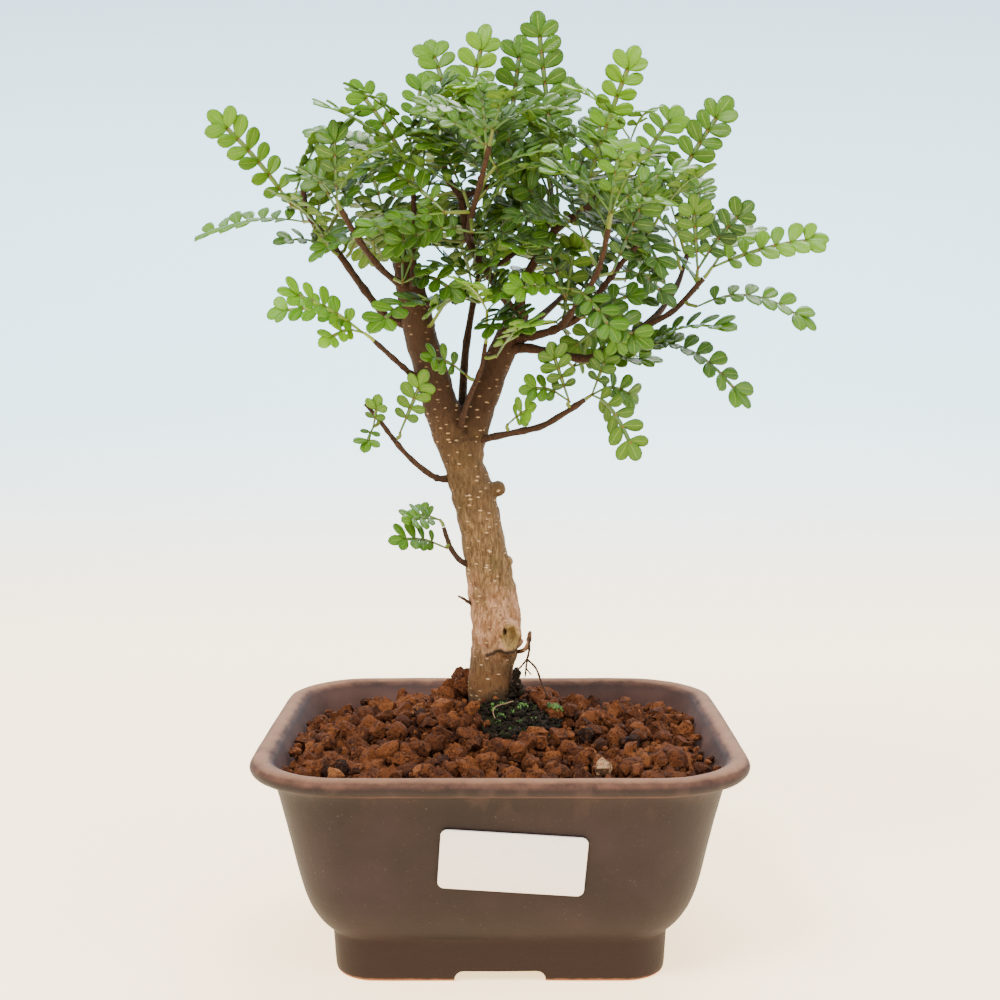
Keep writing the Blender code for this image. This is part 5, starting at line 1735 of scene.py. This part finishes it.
def grow_sprays(rule, room, chance):
    """Sprays of two or three fronds that fill the leafy masses from the nearest limbs, as the rule says."""
    carriers = {name: limb_samples(name) for name in CARRIERS}
    sprays = {}
    for attempt in range(rule["tries"]):
        if len(sprays) == rule["count"]:
            break
        middle, half = MASSES[attempt % len(MASSES)]
        way = Vector([chance.uniform(-1, 1) for _ in range(3)])
        if way.y < rule["foremost"] or not rule["depth"][0] <= way.length <= rule["depth"][1]:
            continue
        target = Vector([middle[k] + way[k] * half[k] for k in range(3)])
        carrier = min(carriers, key=lambda name: min((s[0] - target).length for s in carriers[name]))
        nearest = min((s[0] for s in carriers[carrier]), key=lambda p: (p - target).length)
        reach = target - nearest
        if not rule["reach"][0] < reach.length < rule["reach"][1]:
            continue
        spray = Spray(carrier, nearest + reach.normalized() * chance.uniform(*rule["stem"]))
        if room.touches(spray.guard()):
            continue
        siblings = Room() if rule["strip"][1] == 1.0 else None
        axis = (target - Vector(rule["middle"])).normalized()
        for turn in rule["turns"]:
            if len(spray.fronds) == 2 + len(sprays) % 2:
                break
            turned = math.radians(turn + chance.uniform(-rule["stray"], rule["stray"]))
            heading = Matrix.Rotation(turned, 3, axis) @ reach.normalized()
            tip = spray.along(1) + heading * chance.uniform(*rule["frond"])
            lift = chance.uniform(*rule["lift"])
            aside = [chance.uniform(*span) for span in rule["aside"]]
            face = axis * rule["outward"] + Vector((*aside, rule["upward"]))
            if in_masses(tip):
                place_frond(spray, room, siblings, (1, tip, lift, face), rule["swings"], rule["strip"])
        if len(spray.fronds) >= 2:
            room.add_spray(spray, rule["strip"][1])
            sprays[f"{rule['name']}_{len(sprays) + 1}"] = spray
    return sprays


# Foliage

def model_leaflet():
    """One obovate leaflet of length 1 along X: a grid drawn in to its outline and folded along its middle."""
    deselect()
    bpy.ops.mesh.primitive_grid_add(x_subdivisions=LEAF_CELLS[0], y_subdivisions=LEAF_CELLS[1], size=1.0)
    blade = bpy.context.object
    blade.name = "leaflet"
    edit(blade)
    columns = len(LEAF_OUTLINE)
    out_of_the_way = 10.0
    for k, (place, half_width, drop) in enumerate(LEAF_OUTLINE):
        x = k / (columns - 1) - 0.5
        choose(blade, lambda p: abs(p.x - x) < 0.4 / columns)
        bpy.ops.transform.resize(value=(1.0, 2 * half_width, 1.0))
        bpy.ops.transform.translate(value=(place - x + out_of_the_way, 0.0, -drop))
    bpy.ops.mesh.select_all(action="SELECT")
    bpy.ops.transform.translate(value=(-out_of_the_way, 0.0, 0.0))
    choose(blade, lambda p: abs(p.y) < 0.02)
    bpy.ops.transform.translate(value=(0.0, 0.0, -LEAF_FOLD))
    choose(blade, lambda p: abs(p.y) < 0.02 and p.x > 0.97)
    bpy.ops.transform.translate(value=(LEAF_POINT, 0.0, 0.0))
    close()
    return blade


def model_rib_link():
    """One winged length of rib from joint to joint, of length 1 along X and 1 wide."""
    deselect()
    parts = len(LINK_OUTLINE) - 1
    bpy.ops.mesh.primitive_grid_add(x_subdivisions=parts, y_subdivisions=2, size=1.0)
    link = bpy.context.object
    link.name = "rib_link"
    edit(link)
    for k, half_width in enumerate(LINK_OUTLINE):
        choose(link, lambda p: abs(p.x - (k / parts - 0.5)) < 0.05)
        bpy.ops.transform.resize(value=(1.0, 2 * half_width, 1.0))
    choose(link, lambda p: abs(p.y) < 0.02)
    bpy.ops.transform.translate(value=(0.0, 0.0, -LINK_FOLD))
    bpy.ops.mesh.select_all(action="SELECT")
    bpy.ops.transform.translate(value=(0.5, 0.0, 0.0))
    close()
    return link


def shell(blade, thickness, top, under):
    """Gives a blade its thickness, with one finish above and one beneath."""
    dress(blade, top, under)
    modify(blade, "SOLIDIFY", thickness=thickness, offset=0.0, material_offset=1, material_offset_rim=0)
    smooth(blade)
    return blade


def frame_of(origin, along, out, sizes):
    """A matrix from a unit shape along X, facing Z, to a place in millimetres."""
    x = along.normalized()
    z = (out - x * out.dot(x)).normalized()
    y = z.cross(x)
    turned = Matrix((x, y, z)).transposed().to_4x4()
    return Matrix.Translation(origin) @ turned @ Matrix.Diagonal((*[s * MM for s in sizes], 1.0))


def leaflet_on(frond, s, side, lean, length, chance):
    """Where a leaflet grows on a frond. Side is -1 or 1, or 0 for the one at the tip."""
    point, along, across, out = frond.at(s)
    lean = math.radians(lean + chance.uniform(-LEAN_STRAY, LEAN_STRAY))
    rise = math.radians(chance.uniform(*(SIDE_RISE if side else TIP_RISE)))
    way = across * side * math.cos(lean) + along * math.sin(lean) if side else along
    way = way * math.cos(rise) + out * math.sin(rise)
    roll = Matrix.Rotation(math.radians(chance.uniform(-ROLL_STRAY, ROLL_STRAY)), 3, way.normalized())
    length *= chance.uniform(*LENGTH_STRAY)
    sizes = (length, length * chance.uniform(*WIDTH_STRAY), length)
    return frame_of(point, way, roll @ out, sizes)


def leaf_frond(frond, leaflet, link, youth, chance):
    """Copies for one pinnate leaf: winged rib links, a pair of leaflets at each joint and one at the tip."""
    length = LEAFLET_TRUE * frond.size * (YOUNG_SHARE if youth > YOUNG else 1.0)
    end = 1 - length / frond.length
    first = min(0.3, PETIOLE / frond.length)
    joints = max(2, round((end - first) * frond.length / (PAIR_TRUE * frond.size)) + 1)
    places = [first + (end - first) * k / (joints - 1) for k in range(joints)]
    made = []
    shade = chance.uniform(0.05, 0.9)
    for k, s in enumerate(places):
        start = 0.0 if k == 0 else places[k - 1]
        point, _, _, out = frond.at(start)
        after = frond.at(s)[0]
        wide = RIB_WIDTH * frond.size * (PETIOLE_SHARE if k == 0 else 1.0)
        sizes = ((after - point).length * LINK_OVERLAP, wide, LINK_THICKNESS)
        made.append(copy_of(link, frame_of(point, after - point, out, sizes), youth=youth, tone=shade))
        share = k / (joints - 1)
        grown = length * min(1.0, 0.74 + 0.6 * share)
        fresh = held(youth + 0.25 * (share - 0.5))
        lean = LEAFLET_LEAN[0] + LEAFLET_LEAN[1] * share + (LEAFLET_LEAN[2] if k == joints - 1 else 0)
        for side in (-1, 1):
            tone = held(shade + chance.uniform(-0.25, 0.25))
            place = leaflet_on(frond, s, side, lean, grown, chance)
            made.append(copy_of(leaflet, place, youth=fresh, tone=tone))
    place = leaflet_on(frond, end, 0, 0, 1.1 * length, chance)
    made.append(copy_of(leaflet, place, youth=held(youth + 0.12), tone=shade))
    return made


def add_stem(spray, youth, look):
    """A spray's green stem, thinner towards its end."""
    knots = flowing(spray.route, 4)
    radii = [STEM_RADIUS * (0.95 - 0.3 * k / len(knots)) for k in range(len(knots))]
    stem = add_tube(knots, radii, "stem")
    smooth(stem)
    dress(stem, look)
    give(stem, youth=youth, tone=0.5)
    return stem


def model_foliage():
    """All sprays: those listed one by one, those at the rear, and those in the crown that replace no node."""
    leaflet = shell(model_leaflet(), LEAF_THICKNESS, leaf("leaf_upper", False), leaf("leaf_under", True))
    green = rib_green()
    link = shell(model_rib_link(), 1.0, green, green)
    stem_look = stem_green()
    room = wood_room()
    sprays = shown_sprays(room)
    sprays.update(grow_sprays(REAR_FILLING, room, random.Random(SEED)))
    nodes = {name: f"spray_{name}" for name in sprays}
    ribs = wood_room()
    for spray in sprays.values():
        ribs.add_spray(spray, RIB_SHARE)
    sprays.update(grow_sprays(CROWN_FILLING, ribs, random.Random(SEED + 2)))
    chance = random.Random(SEED + 1)
    for name, spray in sprays.items():
        if not spray.fronds:
            continue
        youth = YOUTH.get(name, chance.uniform(0.0, 0.45))
        parts = [add_stem(spray, youth, stem_look)]
        for frond in spray.fronds:
            parts += leaf_frond(frond, leaflet, link, held(youth + chance.uniform(-0.12, 0.12)), chance)
        piece = join(parts, f"leaves_{name}")
        if name in nodes:
            settle(piece, "leaves", nodes[name])
        else:
            settle(piece, "leaves")
    discard(leaflet, link)


# Stage

def add_floor():
    """A pale sheet that lies flat under the pot and curves up behind it."""
    deselect()
    bpy.ops.mesh.primitive_plane_add(size=FLOOR_SIZE)
    floor = bpy.context.object
    floor.name = "floor"
    edit(floor)
    choose(floor, lambda p: p.y > FLOOR_REAR)
    bpy.ops.mesh.extrude_region_move(TRANSFORM_OT_translate={"value": FLOOR_RISE})
    close()
    modify(floor, "BEVEL", width=FLOOR_CURVE, segments=16, limit_method="ANGLE",
           angle_limit=math.radians(30))
    smooth(floor)
    dress(floor, pale_paper())


def pale_paper():
    """Paper whose colour and glow are painted light: warm under the pot, cooler behind it, and the glow dim
    far up.
    """
    paper = Finish("pale_paper", Roughness=0.9, Specular_IOR_Level=0.1, Emission_Strength=2.4)
    back = paper.where("Y") + paper.where("Z")
    cold = paper.between(back, 0.1, 2.2)
    dim = paper.between(back, 2.6, 4.2)
    # Painted light: the colour and the glow go from warm under the pot to cool behind it, and the glow dims
    # far up
    body = paper.mix(cold, (0.96, 0.85, 0.68), (0.72, 0.88, 0.96))
    glow = paper.mix(dim, paper.mix(cold, (1.0, 0.7, 0.34), (0.34, 0.7, 0.84)), (0.13, 0.13, 0.35))
    paper.paint(Base_Color=body, Emission_Color=glow)
    return paper.material


def add_lights():
    for name, place, size, power, colour in LIGHTS:
        deselect()
        way = Vector(LIGHT_AIM) - Vector(place)
        turn = way.to_track_quat("-Z", "Y").to_euler()
        bpy.ops.object.light_add(type="AREA", location=place, rotation=turn)
        lamp = bpy.context.object
        lamp.name = name
        lamp.data.shape = "DISK"
        lamp.data.size = size
        lamp.data.energy = power
        lamp.data.color = colour
    world = bpy.data.worlds.new("studio")
    world.use_nodes = True
    background = world.node_tree.nodes["Background"].inputs
    background["Color"].default_value = (*ROOM_LIGHT, 1.0)
    background["Strength"].default_value = 1.0
    bpy.context.scene.world = world


def add_camera():
    deselect()
    bpy.ops.object.camera_add(location=CAMERA_PLACE, rotation=(math.radians(CAMERA_TILT), 0, 0))
    camera = bpy.context.object
    camera.data.lens = CAMERA_LENS
    camera.data.sensor_width = 36.0
    camera.data.clip_start = 0.01
    bpy.context.scene.camera = camera


def main():
    deselect()
    add_camera()
    add_lights()
    add_floor()
    model_pot()
    model_label()
    finish_drain_mesh()
    chance = random.Random(SEED)
    crumbs = model_soil(chance)
    model_peat(crumbs, chance)
    discard(*crumbs)
    model_moss(chance)
    model_rootlet()
    model_wood(chance)
    model_foliage()


main()
